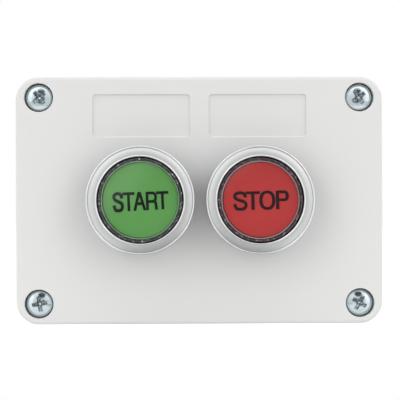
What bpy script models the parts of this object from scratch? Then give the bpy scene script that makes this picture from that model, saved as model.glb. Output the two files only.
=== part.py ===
"""Two-button control station: a moulded box with a start and a stop pushbutton in its lid.

World frame, in metres: +X to the right and +Z up as the user faces the station, and the wall behind it
at Y = 0, so the lid looks along -Y. Everything on the lid is drawn in the panel frame: X right, Y up,
Z out towards the user, with Z = 0 on the lid's outer face.
"""

import math

import bmesh
import bpy

# Enclosure
WIDTH = 0.104
HEIGHT = 0.070
DEPTH = 0.062
LID_DEPTH = 0.018
WALL = 0.003
FACE_WALL = 0.003
BACK_WALL = 0.003
CORNER_RADIUS = 0.0065
FACE_FILLET = 0.001
BACK_FILLET = 0.0015
PARTING_CHAMFER = 0.0003

# Pieces that touch on the real product keep this gap here
GAP = 0.0003

# Lid screws, their columns and the wells that sink their heads
SCREW_FROM_SIDE = 0.0065
SCREW_FROM_TOP = 0.0058
COLUMN_WALL = 0.0011
WELL_RADIUS = 0.0041
WELL_DEPTH = 0.0038
SCREW_SHANK_RADIUS = 0.0019
SCREW_LENGTH = 0.025
SCREW_HEAD_HEIGHT = 0.0026
SCREW_HEAD_EDGE = 0.0009
SCREW_WING_LENGTH = 0.0022
SCREW_WING_WIDTH = 0.0009
SCREW_RECESS_DEPTH = 0.0016
SCREW_TURNS = {"top_left": 30, "top_right": 34, "bottom_left": 10, "bottom_right": 62}

# Seal between lid and base, which runs round the inside of the screw columns
GROOVE_INNER = 0.0008
GROOVE_WIDTH = 0.0014
GROOVE_DEPTH = 0.0024
GASKET_THICKNESS = 0.0012

# Label recesses above the buttons
LABEL_WIDTH = 0.0275
LABEL_HEIGHT = 0.012
LABEL_DEPTH = 0.0005
LABEL_CORNER = 0.0009
LABEL_SPACING = 0.0055
LABEL_FROM_TOP = 0.011

# Cable entry knockouts in the short end walls, and the two wall fixing holes
KNOCKOUT_RADIUS = 0.0102
KNOCKOUT_GROOVE_WIDTH = 0.0008
KNOCKOUT_GROOVE_DEPTH = 0.0018
KNOCKOUT_FROM_WALL = 0.022
FIXING_PITCH = 0.080
FIXING_HOLE_RADIUS = 0.0023
FIXING_PAD_RADIUS = 0.0052
FIXING_PAD_HEIGHT = 0.0015

# Pushbutton heads
BEZEL_SPACING = 0.0032
TRAVEL = 0.004
BEZEL_OVERHANG = 0.00115
BEZEL_CREST_WIDTH = 0.0003
BEZEL_FACE_DROP = 0.0009
BEZEL_FACE_SWELL = 0.0002
BEZEL_GROOVE_WIDTH = 0.0002
BEZEL_GROOVE_DEPTH = 0.0004
BEZEL_LIP_WIDTH = 0.0005
BEZEL_LIP_ROUNDING = 0.00015
BEZEL_DRAFT = 0.0002
BEZEL_SKIRT_WALL = 0.001
SEAL_THICKNESS = 0.0007
BARREL_RADIUS = 0.01095
BARREL_WALL = 0.00105
BARREL_FLANGE_WIDTH = 0.0027
BARREL_FLANGE_THICKNESS = 0.0009
BARREL_LENGTH = 0.0145
BARREL_WEB_THICKNESS = 0.0013
BARREL_WEB_INSET = 0.0015
BARREL_KEY_WIDTH = 0.003
BARREL_KEY_HEIGHT = 0.0010
NUT_WALL = 0.00225
NUT_THICKNESS = 0.005
NUT_EDGE = 0.0005

# The moving cap: clear lens, coloured disc and black carrier
LENS_BELOW_RIM = 0.0003
LENS_THICKNESS = 0.001
LENS_CHAMFER = 0.0009
LENS_SKIRT_WALL = 0.00085
DISC_THICKNESS = 0.0006
CARRIER_HEAD_THICKNESS = 0.001
CARRIER_SLEEVE_WALL = 0.0012
CARRIER_SLEEVE_LENGTH = 0.0105
STEM_RADIUS = 0.003
STEM_PROUD = 0.0002
RETURN_SPRING_RADIUS = 0.0053
RETURN_SPRING_WIRE = 0.00045
RETURN_SPRING_TURNS = 4

# Contact block and the holder that clips it to the barrel
HOLDER_COLLAR_WALL = 0.0022
HOLDER_PLATE_INSET = 0.0015
HOLDER_PLATE_THICKNESS = 0.0025
HOLDER_HOOK_WIDTH = 0.008
HOLDER_HOOK_THICKNESS = 0.0015
HOLDER_HOOK_REACH = 0.0075
HOOK_BITE = 0.0009
BLOCK_WIDTH = 0.0102
BLOCK_LENGTH = 0.042
BLOCK_WALL = 0.0015
BLOCK_END_WALL = 0.0025
BLOCK_OFFSET = 0.0009
COVER_THICKNESS = 0.0015
PLUNGER_WIDTH = 0.006
PLUNGER_LENGTH = 0.0066
PLUNGER_TAIL = 0.0022
BRIDGE_WIDTH = 0.0036
BRIDGE_END_ROOM = 0.0009
BRIDGE_HEADROOM = 0.003
BRIDGE_THICKNESS = 0.001
TIP_RADIUS = 0.0014
TIP_INSET = 0.0002
TIP_HEIGHT = 0.0005
TERMINAL_WIDTH = 0.0056
TERMINAL_THICKNESS = 0.001
TERMINAL_WALL = 0.0015
TERMINAL_SCREW_RADIUS = 0.00125
TERMINAL_SCREW_LENGTH = 0.006
TERMINAL_HEAD_RADIUS = 0.0024
TERMINAL_HEAD_HEIGHT = 0.0018
TERMINAL_SLOT_WIDTH = 0.0006
TERMINAL_SLOT_DEPTH = 0.0008
WIRE_ENTRY_RADIUS = 0.0015
CONTACT_SPRING_RADIUS = 0.0019
CONTACT_SPRING_WIRE = 0.0002
CONTACT_SPRING_TURNS = 3
CONTACT_SPRING_PRESSED = 0.0021

# Round pieces: sides round the circle, for what shows and for what is hidden
SHOWN_SIDES = 40
HIDDEN_SIDES = 20
SPRING_POINTS_PER_TURN = 8
CORNER_SEGMENTS = 5
COLUMN_SEGMENTS = 8
SHARP_ANGLE = math.radians(35)
CUT_EXTRA = 0.001

# Places and radii worked out from the values above
screw_x = WIDTH / 2 - SCREW_FROM_SIDE
screw_y = HEIGHT / 2 - SCREW_FROM_TOP
column_radius = WELL_RADIUS + COLUMN_WALL
screw_head_radius = WELL_RADIUS - GAP
label_x = (LABEL_WIDTH + LABEL_SPACING) / 2
label_y = HEIGHT / 2 - LABEL_FROM_TOP
hole_radius = BARREL_RADIUS + GAP
bore_radius = BARREL_RADIUS - BARREL_WALL
barrel_flange_radius = BARREL_RADIUS + BARREL_FLANGE_WIDTH
bezel_recess_radius = barrel_flange_radius + GAP
bezel_radius = bezel_recess_radius + BEZEL_SKIRT_WALL + BEZEL_DRAFT
bezel_bore_radius = BARREL_RADIUS + BEZEL_OVERHANG
button_x = bezel_radius + BEZEL_SPACING / 2
collar_radius = hole_radius + HOLDER_COLLAR_WALL
lens_radius = bezel_bore_radius - GAP
disc_radius = lens_radius - LENS_SKIRT_WALL - GAP
pocket_outside = BLOCK_LENGTH / 2 - BLOCK_WALL
terminal_screw_y = pocket_outside - TERMINAL_HEAD_RADIUS - GAP
pocket_inside = terminal_screw_y - TERMINAL_HEAD_RADIUS - GAP
chamber_end = pocket_inside - TERMINAL_WALL
bridge_end = chamber_end - BRIDGE_END_ROOM
tip_y = bridge_end - TIP_INSET - TIP_RADIUS

# Levels along the panel frame's Z, worked out from the values above
rim_level = -LID_DEPTH
base_rim_level = rim_level - GAP
seal_top = GAP + SEAL_THICKNESS
flange_back = seal_top + GAP
flange_top = flange_back + BARREL_FLANGE_THICKNESS
carrier_back = flange_top + GAP + TRAVEL
carrier_front = carrier_back + CARRIER_HEAD_THICKNESS
crown = carrier_back - CARRIER_HEAD_THICKNESS
disc_back = carrier_front + GAP
disc_front = disc_back + DISC_THICKNESS
lens_back = disc_front + GAP
lens_front = lens_back + LENS_THICKNESS
bezel_top = lens_front + LENS_BELOW_RIM
nut_front = -FACE_WALL - GAP
nut_back = nut_front - NUT_THICKNESS
barrel_back = -BARREL_LENGTH
web_back = barrel_back + BARREL_WEB_INSET
web_front = web_back + BARREL_WEB_THICKNESS
stem_back = web_back - STEM_PROUD
plunger_front = stem_back - GAP
holder_plate_front = barrel_back - GAP
holder_plate_back = holder_plate_front - HOLDER_PLATE_THICKNESS
hook_tip = holder_plate_back - HOLDER_HOOK_REACH
block_front = holder_plate_back - GAP
chamber_front = block_front - BLOCK_END_WALL
bridge_reach = 2 * TIP_HEIGHT + GAP + BRIDGE_THICKNESS / 2
bridge_when_closing = chamber_front - BRIDGE_HEADROOM - BRIDGE_THICKNESS / 2
terminal_front = bridge_when_closing - TRAVEL - bridge_reach
terminal_back = terminal_front - TERMINAL_THICKNESS
bridge_when_opening = terminal_back - bridge_reach
plunger_back = bridge_when_opening - BRIDGE_THICKNESS / 2 - PLUNGER_TAIL
chamber_back = plunger_back - TRAVEL - CONTACT_SPRING_PRESSED
block_back = chamber_back - BLOCK_END_WALL

MATERIALS = {
    "grey_shell": ((0.72, 0.725, 0.715), 0.45, 0.0),
    "silver_bezel": ((0.60, 0.61, 0.62), 0.35, 0.6),
    "clear_lens": ((0.85, 0.87, 0.87), 0.08, 0.0),
    "green_disc": ((0.10, 0.36, 0.09), 0.4, 0.0),
    "red_disc": ((0.48, 0.05, 0.05), 0.4, 0.0),
    "black_plastic": ((0.02, 0.02, 0.022), 0.5, 0.0),
    "seal_rubber": ((0.05, 0.05, 0.055), 0.8, 0.0),
    "zinc_steel": ((0.62, 0.65, 0.66), 0.25, 1.0),
    "spring_steel": ((0.5, 0.5, 0.5), 0.3, 1.0),
    "contact_brass": ((0.60, 0.42, 0.16), 0.3, 1.0),
    "green_plunger": ((0.05, 0.25, 0.08), 0.5, 0.0),
    "red_plunger": ((0.40, 0.04, 0.04), 0.5, 0.0),
}


def clear_scene():
    for obj in list(bpy.data.objects):
        bpy.data.objects.remove(obj, do_unlink=True)


def make_material(name):
    colour, roughness, metallic = MATERIALS[name]
    material = bpy.data.materials.new(name)
    material.use_nodes = True
    shader = material.node_tree.nodes["Principled BSDF"]
    shader.inputs["Base Color"].default_value = (*colour, 1.0)
    shader.inputs["Roughness"].default_value = roughness
    shader.inputs["Metallic"].default_value = metallic
    material.diffuse_color = (*colour, 1.0)
    return material


def collection(name):
    found = bpy.data.collections.get(name)
    if found is None:
        found = bpy.data.collections.new(name)
        bpy.context.scene.collection.children.link(found)
    return found


def place(name, data, parent, location=(0, 0, 0), material=None):
    """An object for a piece, or for a cutter where it has no material."""
    obj = bpy.data.objects.new(name, data)
    obj.location = location
    obj.parent = parent
    if material is None:
        collection("cutters").objects.link(obj)
        obj.hide_render = True
        obj.display_type = "WIRE"
    else:
        collection("pushbutton_control_station").objects.link(obj)
        data.materials.append(bpy.data.materials.get(material) or make_material(material))
    return obj


def axis_empty(name, parent, location):
    empty = bpy.data.objects.new(name, None)
    empty.empty_display_size = LID_DEPTH
    empty.location = location
    empty.parent = parent
    collection("pushbutton_control_station").objects.link(empty)
    return empty


def arc(centre, radius, start, end, segments):
    """Points on an arc, with angles in degrees."""
    points = []
    for i in range(segments + 1):
        angle = math.radians(start + (end - start) * i / segments)
        points.append((centre[0] + radius * math.cos(angle), centre[1] + radius * math.sin(angle)))
    return points


def turned(name, profile, parent, material=None, location=(0, 0, 0), sides=HIDDEN_SIDES, ring=False):
    """A profile of (radius, level) turned about Z. It runs down the outer side; a ring's also closes."""
    mesh = bpy.data.meshes.new(name)
    count = len(profile)
    edges = [(i, i + 1) for i in range(count - 1)]
    if ring:
        edges.append((count - 1, 0))
    mesh.from_pydata([(radius, 0, level) for radius, level in profile], edges, [])
    obj = place(name, mesh, parent, location, material)
    screw = obj.modifiers.new("Turn", "SCREW")
    screw.axis = "Z"
    screw.steps = screw.render_steps = sides
    screw.use_merge_vertices = True
    screw.merge_threshold = 0.00001
    return obj


def tube(name, inner, outer, low, high, parent, material=None, location=(0, 0, 0), sides=HIDDEN_SIDES):
    profile = [(outer, high), (outer, low), (inner, low), (inner, high)]
    return turned(name, profile, parent, material, location, sides, ring=True)


def rod(name, radius, low, high, parent, material=None, location=(0, 0, 0), sides=HIDDEN_SIDES):
    mesh = bpy.data.meshes.new(name)
    shape = bmesh.new()
    bmesh.ops.create_cone(
        shape, cap_ends=True, segments=sides, radius1=radius, radius2=radius, depth=high - low
    )
    shape.to_mesh(mesh)
    shape.free()
    x, y, z = location
    return place(name, mesh, parent, (x, y, z + (low + high) / 2), material)


def box(name, x, y, z, parent, material=None):
    """A box between the low and high of each axis."""
    mesh = bpy.data.meshes.new(name)
    shape = bmesh.new()
    bmesh.ops.create_cube(shape, size=1)
    bmesh.ops.scale(shape, vec=(x[1] - x[0], y[1] - y[0], z[1] - z[0]), verts=shape.verts)
    shape.to_mesh(mesh)
    shape.free()
    centre = ((x[0] + x[1]) / 2, (y[0] + y[1]) / 2, (z[0] + z[1]) / 2)
    return place(name, mesh, parent, centre, material)


def plate(name, outlines, low, high, parent, material=None, location=(0, 0, 0)):
    """Outlines in XY, of which a second one is a hole, extruded from one level to another as a mesh."""
    curve = bpy.data.curves.new(name + "_outline", "CURVE")
    curve.dimensions = "2D"
    curve.fill_mode = "BOTH"
    curve.extrude = (high - low) / 2
    for outline in outlines:
        spline = curve.splines.new("POLY")
        spline.points.add(len(outline) - 1)
        spline.use_cyclic_u = True
        for point, (x, y) in zip(spline.points, outline):
            point.co = (x, y, 0, 1)
    drawn = bpy.data.objects.new(name + "_outline", curve)
    bpy.context.scene.collection.objects.link(drawn)
    graph = bpy.context.evaluated_depsgraph_get()
    mesh = bpy.data.meshes.new_from_object(drawn.evaluated_get(graph))
    bpy.data.objects.remove(drawn, do_unlink=True)
    shape = bmesh.new()
    shape.from_mesh(mesh)
    bmesh.ops.remove_doubles(shape, verts=shape.verts, dist=0.000001)
    bmesh.ops.recalc_face_normals(shape, faces=shape.faces)
    shape.to_mesh(mesh)
    shape.free()
    mesh.name = name
    x, y, z = location
    return place(name, mesh, parent, (x, y, z + (low + high) / 2), material)


def boolean(obj, other, operation):
    modifier = obj.modifiers.new(other.name, "BOOLEAN")
    modifier.object = other
    modifier.operation = operation
    modifier.solver = "EXACT"


def cut(obj, *cutters):
    for cutter in cutters:
        boolean(obj, cutter, "DIFFERENCE")


def join(obj, *additions):
    for addition in additions:
        boolean(obj, addition, "UNION")


def rounded_block(name, low, high, parent, material, fillet_front=0.0, fillet_back=0.0):
    """A shell's outer block with rounded corners, and rounded edges round its front and back faces."""
    mesh = bpy.data.meshes.new(name)
    shape = bmesh.new()
    bmesh.ops.create_cube(shape, size=1)
    bmesh.ops.scale(shape, vec=(WIDTH, HEIGHT, high - low), verts=shape.verts)
    upright = [e for e in shape.edges if abs(e.verts[0].co.z - e.verts[1].co.z) > 0]
    bmesh.ops.bevel(
        shape, geom=upright, offset=CORNER_RADIUS, segments=CORNER_SEGMENTS, profile=0.5, affect="EDGES"
    )
    for side, fillet in ((1, fillet_front), (-1, fillet_back)):
        if fillet:
            level = side * (high - low) / 2
            rim = [e for e in shape.edges if all(abs(v.co.z - level) < 1e-7 for v in e.verts)]
            segments = 2 if fillet > PARTING_CHAMFER else 1
            bmesh.ops.bevel(
                shape, geom=rim, offset=fillet, segments=segments, profile=0.5, affect="EDGES"
            )
    shape.to_mesh(mesh)
    shape.free()
    return place(name, mesh, parent, (0, 0, (low + high) / 2), material)


def rounded_rectangle(width, height, radius, segments=3):
    points = []
    for sign_x, sign_y, start in ((1, 1, 0), (-1, 1, 90), (-1, -1, 180), (1, -1, 270)):
        centre = (sign_x * (width / 2 - radius), sign_y * (height / 2 - radius))
        points += arc(centre, radius, start, start + 90, segments)
    return points


def chamber_outline(offset=0.0):
    """The box's inner wall line, which steps round the screw columns, moved outwards into the walls."""
    half_x = WIDTH / 2 - WALL
    half_y = HEIGHT / 2 - WALL
    screw = (screw_x, screw_y)
    reach_y = math.sqrt(column_radius**2 - (half_x - screw[0]) ** 2)
    reach_x = math.sqrt(column_radius**2 - (half_y - screw[1]) ** 2)
    first = math.degrees(math.atan2(-reach_y, half_x - screw[0]))
    last = math.degrees(math.atan2(half_y - screw[1], -reach_x)) - 360
    column = arc(screw, column_radius - offset, first, last, COLUMN_SEGMENTS)
    if offset > 0:
        lower = arc((half_x, screw[1] - reach_y), offset, 0, first + 180, 3)
        upper = arc((screw[0] - reach_x, half_y), offset, last + 180, 90, 3)
        column = lower[:-1] + column + upper[1:]
    backwards = column[::-1]
    upper = column + [(-x, y) for x, y in backwards]
    return upper + [(-x, -y) for x, y in column] + [(x, -y) for x, y in backwards]


def screw_places():
    for name, turn in SCREW_TURNS.items():
        side_y = 1 if name.startswith("top") else -1
        side_x = 1 if name.endswith("right") else -1
        yield name, turn, (side_x * screw_x, side_y * screw_y, 0)


def enclosure_base(panel):
    """The rear shell: screw columns, sealing tongue, knockouts in its ends and two wall fixing holes."""
    base = rounded_block(
        "enclosure_base", -DEPTH, base_rim_level, panel, "grey_shell", PARTING_CHAMFER, BACK_FILLET
    )
    floor = -DEPTH + BACK_WALL
    cut(base, plate("base_chamber", [chamber_outline()], floor, base_rim_level + CUT_EXTRA, panel))
    inner = chamber_outline(GROOVE_INNER + GAP)
    outer = chamber_outline(GROOVE_INNER + GROOVE_WIDTH - GAP)
    tongue_top = rim_level + GROOVE_DEPTH - GASKET_THICKNESS - 2 * GAP
    join(base, plate("base_tongue", [outer, inner], base_rim_level - CUT_EXTRA, tongue_top, panel))
    pilot_end = -WELL_DEPTH - SCREW_LENGTH - 2 * GAP
    for name, _, place_xy in screw_places():
        pilot = rod(
            f"pilot_{name}", SCREW_SHANK_RADIUS + GAP, pilot_end, base_rim_level + CUT_EXTRA, panel,
            location=place_xy, sides=16,
        )
        cut(base, pilot)
    for side in (-1, 1):
        at = (side * FIXING_PITCH / 2, 0, 0)
        join(base, rod(f"fixing_pad_{side}", FIXING_PAD_RADIUS, floor - CUT_EXTRA,
                       floor + FIXING_PAD_HEIGHT, panel, location=at, sides=20))
        cut(base, rod(f"fixing_hole_{side}", FIXING_HOLE_RADIUS, -DEPTH - CUT_EXTRA,
                      floor + FIXING_PAD_HEIGHT + CUT_EXTRA, panel, location=at, sides=20))
        groove = tube(
            f"knockout_groove_{side}", KNOCKOUT_RADIUS - KNOCKOUT_GROOVE_WIDTH, KNOCKOUT_RADIUS,
            -KNOCKOUT_GROOVE_DEPTH, CUT_EXTRA, panel,
            location=(side * WIDTH / 2, 0, -DEPTH + KNOCKOUT_FROM_WALL),
        )
        groove.rotation_euler = (0, side * math.pi / 2, 0)
        cut(base, groove)
    return base


def enclosure_lid(panel):
    """The front shell: label recesses, button holes with their key notches, screw wells and the groove."""
    lid = rounded_block("enclosure_lid", rim_level, 0, panel, "grey_shell", FACE_FILLET, PARTING_CHAMFER)
    cut(lid, plate("lid_chamber", [chamber_outline()], rim_level - CUT_EXTRA, -FACE_WALL, panel))
    groove = [chamber_outline(GROOVE_INNER + GROOVE_WIDTH), chamber_outline(GROOVE_INNER)]
    cut(lid, plate("lid_groove", groove, rim_level - CUT_EXTRA, rim_level + GROOVE_DEPTH, panel))
    for name, _, place_xy in screw_places():
        well = rod(f"well_{name}", WELL_RADIUS, -WELL_DEPTH, CUT_EXTRA, panel, location=place_xy, sides=24)
        passage = rod(
            f"passage_{name}", SCREW_SHANK_RADIUS + GAP, rim_level - CUT_EXTRA, CUT_EXTRA, panel,
            location=place_xy, sides=16,
        )
        cut(lid, well, passage)
    label = rounded_rectangle(LABEL_WIDTH, LABEL_HEIGHT, LABEL_CORNER)
    for side in (-1, 1):
        at_label = (side * label_x, label_y, 0)
        cut(lid, plate(f"label_recess_{side}", [label], -LABEL_DEPTH, CUT_EXTRA, panel, location=at_label))
        at = (side * button_x, 0, 0)
        cut(lid, rod(f"button_hole_{side}", hole_radius, -FACE_WALL - CUT_EXTRA, CUT_EXTRA, panel,
                     location=at, sides=SHOWN_SIDES))
        notch_x = (at[0] - BARREL_KEY_WIDTH / 2 - GAP, at[0] + BARREL_KEY_WIDTH / 2 + GAP)
        notch_top = BARREL_RADIUS + BARREL_KEY_HEIGHT + GAP
        through = (-FACE_WALL - CUT_EXTRA, CUT_EXTRA)
        cut(lid, box(f"key_notch_{side}", notch_x, (0, notch_top), through, panel))
    return lid


def lid_gasket(panel):
    inner = chamber_outline(GROOVE_INNER + GAP)
    outer = chamber_outline(GROOVE_INNER + GROOVE_WIDTH - GAP)
    top = rim_level + GROOVE_DEPTH - GAP
    return plate("lid_gasket", [outer, inner], top - GASKET_THICKNESS, top, panel, "seal_rubber")


def lid_screw(name, turn, at, panel):
    """A cross-recessed pan head screw, with its head sunk in the lid's well."""
    seat = -WELL_DEPTH + GAP
    top = seat + SCREW_HEAD_HEIGHT
    dome = SCREW_HEAD_HEIGHT - SCREW_HEAD_EDGE
    profile = [(0, top)]
    for i in range(1, 4):
        angle = math.radians(90 * i / 3)
        profile.append((screw_head_radius * math.sin(angle), top - dome + dome * math.cos(angle)))
    profile.append((screw_head_radius, seat))
    profile.append((SCREW_SHANK_RADIUS, seat))
    profile.append((SCREW_SHANK_RADIUS, seat - SCREW_LENGTH + SCREW_SHANK_RADIUS))
    profile.append((0, seat - SCREW_LENGTH))
    screw = turned(f"lid_screw_{name}", profile, panel, "zinc_steel", at, sides=16)
    long, half = SCREW_WING_LENGTH, SCREW_WING_WIDTH / 2
    cross = [(long, -half), (long, half), (half, half), (half, long), (-half, long), (-half, half),
             (-long, half), (-long, -half), (-half, -half), (-half, -long), (half, -long), (half, -half)]
    recess = plate(
        f"recess_{name}", [cross], top - SCREW_RECESS_DEPTH, top + CUT_EXTRA, panel, location=at
    )
    recess.rotation_euler = (0, 0, math.radians(turn))
    cut(screw, recess)
    return screw


def bezel(prefix, axis):
    """The silver front ring: a slightly swelling face that falls to a fine groove and a raised lip."""
    crest = bezel_bore_radius + BEZEL_CREST_WIDTH
    lip_inside = bezel_radius - BEZEL_LIP_WIDTH
    face_outside = lip_inside - BEZEL_GROOVE_WIDTH
    face_foot = bezel_top - BEZEL_FACE_DROP
    profile = [(bezel_bore_radius, bezel_top - BEZEL_CREST_WIDTH / 2), (crest, bezel_top)]
    for share in (1 / 3, 2 / 3, 1):
        swell = BEZEL_FACE_SWELL * math.sin(math.pi * share)
        profile.append((
            crest + (face_outside - crest) * share, bezel_top - BEZEL_FACE_DROP * share + swell
        ))
    ledge_level = flange_top + GAP
    profile += [
        (face_outside + BEZEL_GROOVE_WIDTH / 2, face_foot - BEZEL_GROOVE_DEPTH),
        (lip_inside, face_foot),
        (bezel_radius - BEZEL_LIP_ROUNDING, face_foot),
        (bezel_radius, face_foot - BEZEL_LIP_ROUNDING),
        (bezel_radius - BEZEL_DRAFT, GAP),
        (bezel_recess_radius, GAP),
        (bezel_recess_radius, ledge_level),
        (bezel_bore_radius, ledge_level),
    ]
    return turned(f"{prefix}_bezel", profile, axis, "silver_bezel", sides=SHOWN_SIDES, ring=True)


def panel_seal(prefix, axis):
    return tube(f"{prefix}_panel_seal", hole_radius, barrel_flange_radius, GAP, seal_top, axis, "seal_rubber")


def barrel(prefix, axis):
    """The operator's black barrel through the lid, with a web behind that guides the stem."""
    profile = [
        (barrel_flange_radius, flange_top),
        (barrel_flange_radius, flange_back),
        (BARREL_RADIUS, flange_back),
        (BARREL_RADIUS, barrel_back),
        (bore_radius, barrel_back),
        (bore_radius, web_back),
        (STEM_RADIUS + GAP, web_back),
        (STEM_RADIUS + GAP, web_front),
        (bore_radius, web_front),
        (bore_radius, flange_top),
    ]
    body = turned(f"{prefix}_barrel", profile, axis, "black_plastic", ring=True)
    key = box(
        f"{prefix}_barrel_key", (-BARREL_KEY_WIDTH / 2, BARREL_KEY_WIDTH / 2),
        (BARREL_RADIUS - BARREL_WALL / 2, BARREL_RADIUS + BARREL_KEY_HEIGHT),
        (-FACE_WALL, 0), axis,
    )
    join(body, key)
    return body


def lock_nut(prefix, axis):
    """The hexagonal nut that clamps the barrel against the back of the lid's face."""
    corner_radius = (hole_radius + NUT_WALL) / math.cos(math.pi / 6)
    nut = rod(f"{prefix}_lock_nut", corner_radius, nut_back, nut_front, axis, "black_plastic", sides=6)
    bevel = nut.modifiers.new("Edges", "BEVEL")
    bevel.width = NUT_EDGE
    bevel.segments = 1
    cut(nut, rod(f"{prefix}_nut_bore", hole_radius, nut_back - CUT_EXTRA, nut_front + CUT_EXTRA, axis))
    return nut


def lens(prefix, axis):
    """The clear cap: a cup whose front edge is chamfered."""
    skirt_bore = disc_radius + GAP
    profile = [
        (0, lens_front),
        (lens_radius - LENS_CHAMFER, lens_front),
        (lens_radius, lens_front - LENS_CHAMFER),
        (lens_radius, carrier_back),
        (skirt_bore, carrier_back),
        (skirt_bore, lens_back),
        (0, lens_back),
    ]
    return turned(f"{prefix}_lens", profile, axis, "clear_lens", sides=SHOWN_SIDES)


def legend_disc(prefix, axis, colour):
    return rod(f"{prefix}_legend_disc", disc_radius, disc_back, disc_front, axis, colour, sides=SHOWN_SIDES)


def button_carrier(prefix, axis):
    """The black slide that the lens clips on: a head, a sleeve in the barrel and a stem to the contact."""
    sleeve_radius = bore_radius - GAP
    sleeve_bore = sleeve_radius - CARRIER_SLEEVE_WALL
    sleeve_back = carrier_back - CARRIER_SLEEVE_LENGTH
    profile = [
        (0, carrier_front),
        (disc_radius, carrier_front),
        (disc_radius, carrier_back),
        (sleeve_radius, carrier_back),
        (sleeve_radius, sleeve_back),
        (sleeve_bore, sleeve_back),
        (sleeve_bore, crown),
        (STEM_RADIUS, crown),
        (STEM_RADIUS, stem_back),
        (0, stem_back),
    ]
    return turned(f"{prefix}_button_carrier", profile, axis, "black_plastic")


def coil_spring(name, radius, wire, turns, low, high, axis):
    """A round-wire compression spring between two levels."""
    curve = bpy.data.curves.new(name, "CURVE")
    curve.dimensions = "3D"
    curve.bevel_depth = wire
    curve.bevel_resolution = 2
    curve.use_fill_caps = True
    spline = curve.splines.new("POLY")
    count = turns * SPRING_POINTS_PER_TURN
    spline.points.add(count)
    bottom = low + wire
    rise = high - low - 2 * wire
    for i, point in enumerate(spline.points):
        angle = 2 * math.pi * i / SPRING_POINTS_PER_TURN
        level = bottom + rise * i / count
        point.co = (radius * math.cos(angle), radius * math.sin(angle), level, 1)
    return place(name, curve, axis, material="spring_steel")


def return_spring(prefix, axis):
    return coil_spring(
        f"{prefix}_return_spring", RETURN_SPRING_RADIUS, RETURN_SPRING_WIRE, RETURN_SPRING_TURNS,
        web_front + GAP, crown - GAP, axis,
    )


def contact_holder(prefix, axis):
    """The collar on the barrel's end, with a plate and two hooks that clip the contact block to it."""
    holder = tube(
        f"{prefix}_contact_holder", hole_radius, collar_radius,
        holder_plate_front - HOLDER_PLATE_THICKNESS / 2, nut_back - GAP, axis, "black_plastic",
    )
    hook_inside = BLOCK_LENGTH / 2 + GAP
    hook_outside = hook_inside + HOLDER_HOOK_THICKNESS
    half = collar_radius - HOLDER_PLATE_INSET
    join(holder, box(f"{prefix}_holder_plate", (-half, half), (-hook_outside, hook_outside),
                     (holder_plate_back, holder_plate_front), axis))
    opening = PLUNGER_LENGTH / 2 + 2 * GAP
    cut(holder, rod(f"{prefix}_holder_opening", math.hypot(opening, PLUNGER_WIDTH / 2),
                    holder_plate_back - CUT_EXTRA, holder_plate_front + CUT_EXTRA, axis))
    outline = [
        (hook_inside, holder_plate_front - HOLDER_PLATE_THICKNESS / 2),
        (hook_inside, hook_tip + 2 * HOOK_BITE),
        (hook_inside - HOOK_BITE, hook_tip + HOOK_BITE),
        (hook_inside, hook_tip),
        (hook_outside, hook_tip),
        (hook_outside, holder_plate_front - HOLDER_PLATE_THICKNESS / 2),
    ]
    for side in (-1, 1):
        drawn = [(side * y, z) for y, z in outline]
        hook = plate(f"{prefix}_holder_hook_{side}", [drawn], -HOLDER_HOOK_WIDTH / 2,
                     HOLDER_HOOK_WIDTH / 2, axis)
        hook.rotation_euler = (math.pi / 2, 0, math.pi / 2)
        join(holder, hook)
    return holder


def contact_block(prefix, axis):
    """The block's open-sided body: contact chamber, plunger guide, terminal pockets and wire entries."""
    low_x = -BLOCK_WIDTH / 2 - BLOCK_OFFSET
    high_x = low_x + BLOCK_WIDTH
    half_y = BLOCK_LENGTH / 2
    block = box(f"{prefix}_contact_block", (low_x, high_x), (-half_y, half_y), (block_back, block_front),
                axis, "black_plastic")
    cut(block, box(f"{prefix}_chamber", (low_x + BLOCK_WALL, high_x + CUT_EXTRA),
                   (-chamber_end, chamber_end), (chamber_back, chamber_front), axis))
    guide_x = PLUNGER_WIDTH / 2 + GAP
    guide_y = PLUNGER_LENGTH / 2 + GAP
    cut(block, box(f"{prefix}_guide", (-guide_x, guide_x), (-guide_y, guide_y),
                   (chamber_front - CUT_EXTRA, block_front + CUT_EXTRA), axis))
    half_pocket = TERMINAL_WIDTH / 2 + GAP
    pocket_front = terminal_back + TERMINAL_SCREW_LENGTH
    for side in (-1, 1):
        near, far = sorted((side * pocket_inside, side * pocket_outside))
        cut(block, box(f"{prefix}_pocket_{side}", (-half_pocket, half_pocket), (near, far),
                       (block_back - CUT_EXTRA, pocket_front), axis))
        near, far = sorted((side * (chamber_end - CUT_EXTRA), side * (pocket_inside + CUT_EXTRA)))
        cut(block, box(f"{prefix}_strip_slot_{side}", (-half_pocket, half_pocket), (near, far),
                       (terminal_back - GAP, terminal_front + GAP), axis))
        reach = BLOCK_WALL + CUT_EXTRA
        entry = rod(f"{prefix}_wire_entry_{side}", WIRE_ENTRY_RADIUS, -reach, reach, axis,
                    location=(0, side * half_y, terminal_back - WIRE_ENTRY_RADIUS - GAP), sides=12)
        entry.rotation_euler = (math.pi / 2, 0, 0)
        cut(block, entry)
        near, far = sorted((side * (half_y - HOOK_BITE), side * (half_y + CUT_EXTRA)))
        half_hook = HOLDER_HOOK_WIDTH / 2 + GAP
        cut(block, box(f"{prefix}_hook_notch_{side}", (-half_hook, half_hook), (near, far),
                       (hook_tip - GAP, hook_tip + 2 * HOOK_BITE + GAP), axis))
    return block


def contact_cover(prefix, axis):
    side = BLOCK_WIDTH / 2 - BLOCK_OFFSET + GAP
    half_y = BLOCK_LENGTH / 2
    return box(f"{prefix}_contact_cover", (side, side + COVER_THICKNESS), (-half_y, half_y),
               (block_back, block_front), axis, "black_plastic")


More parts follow.
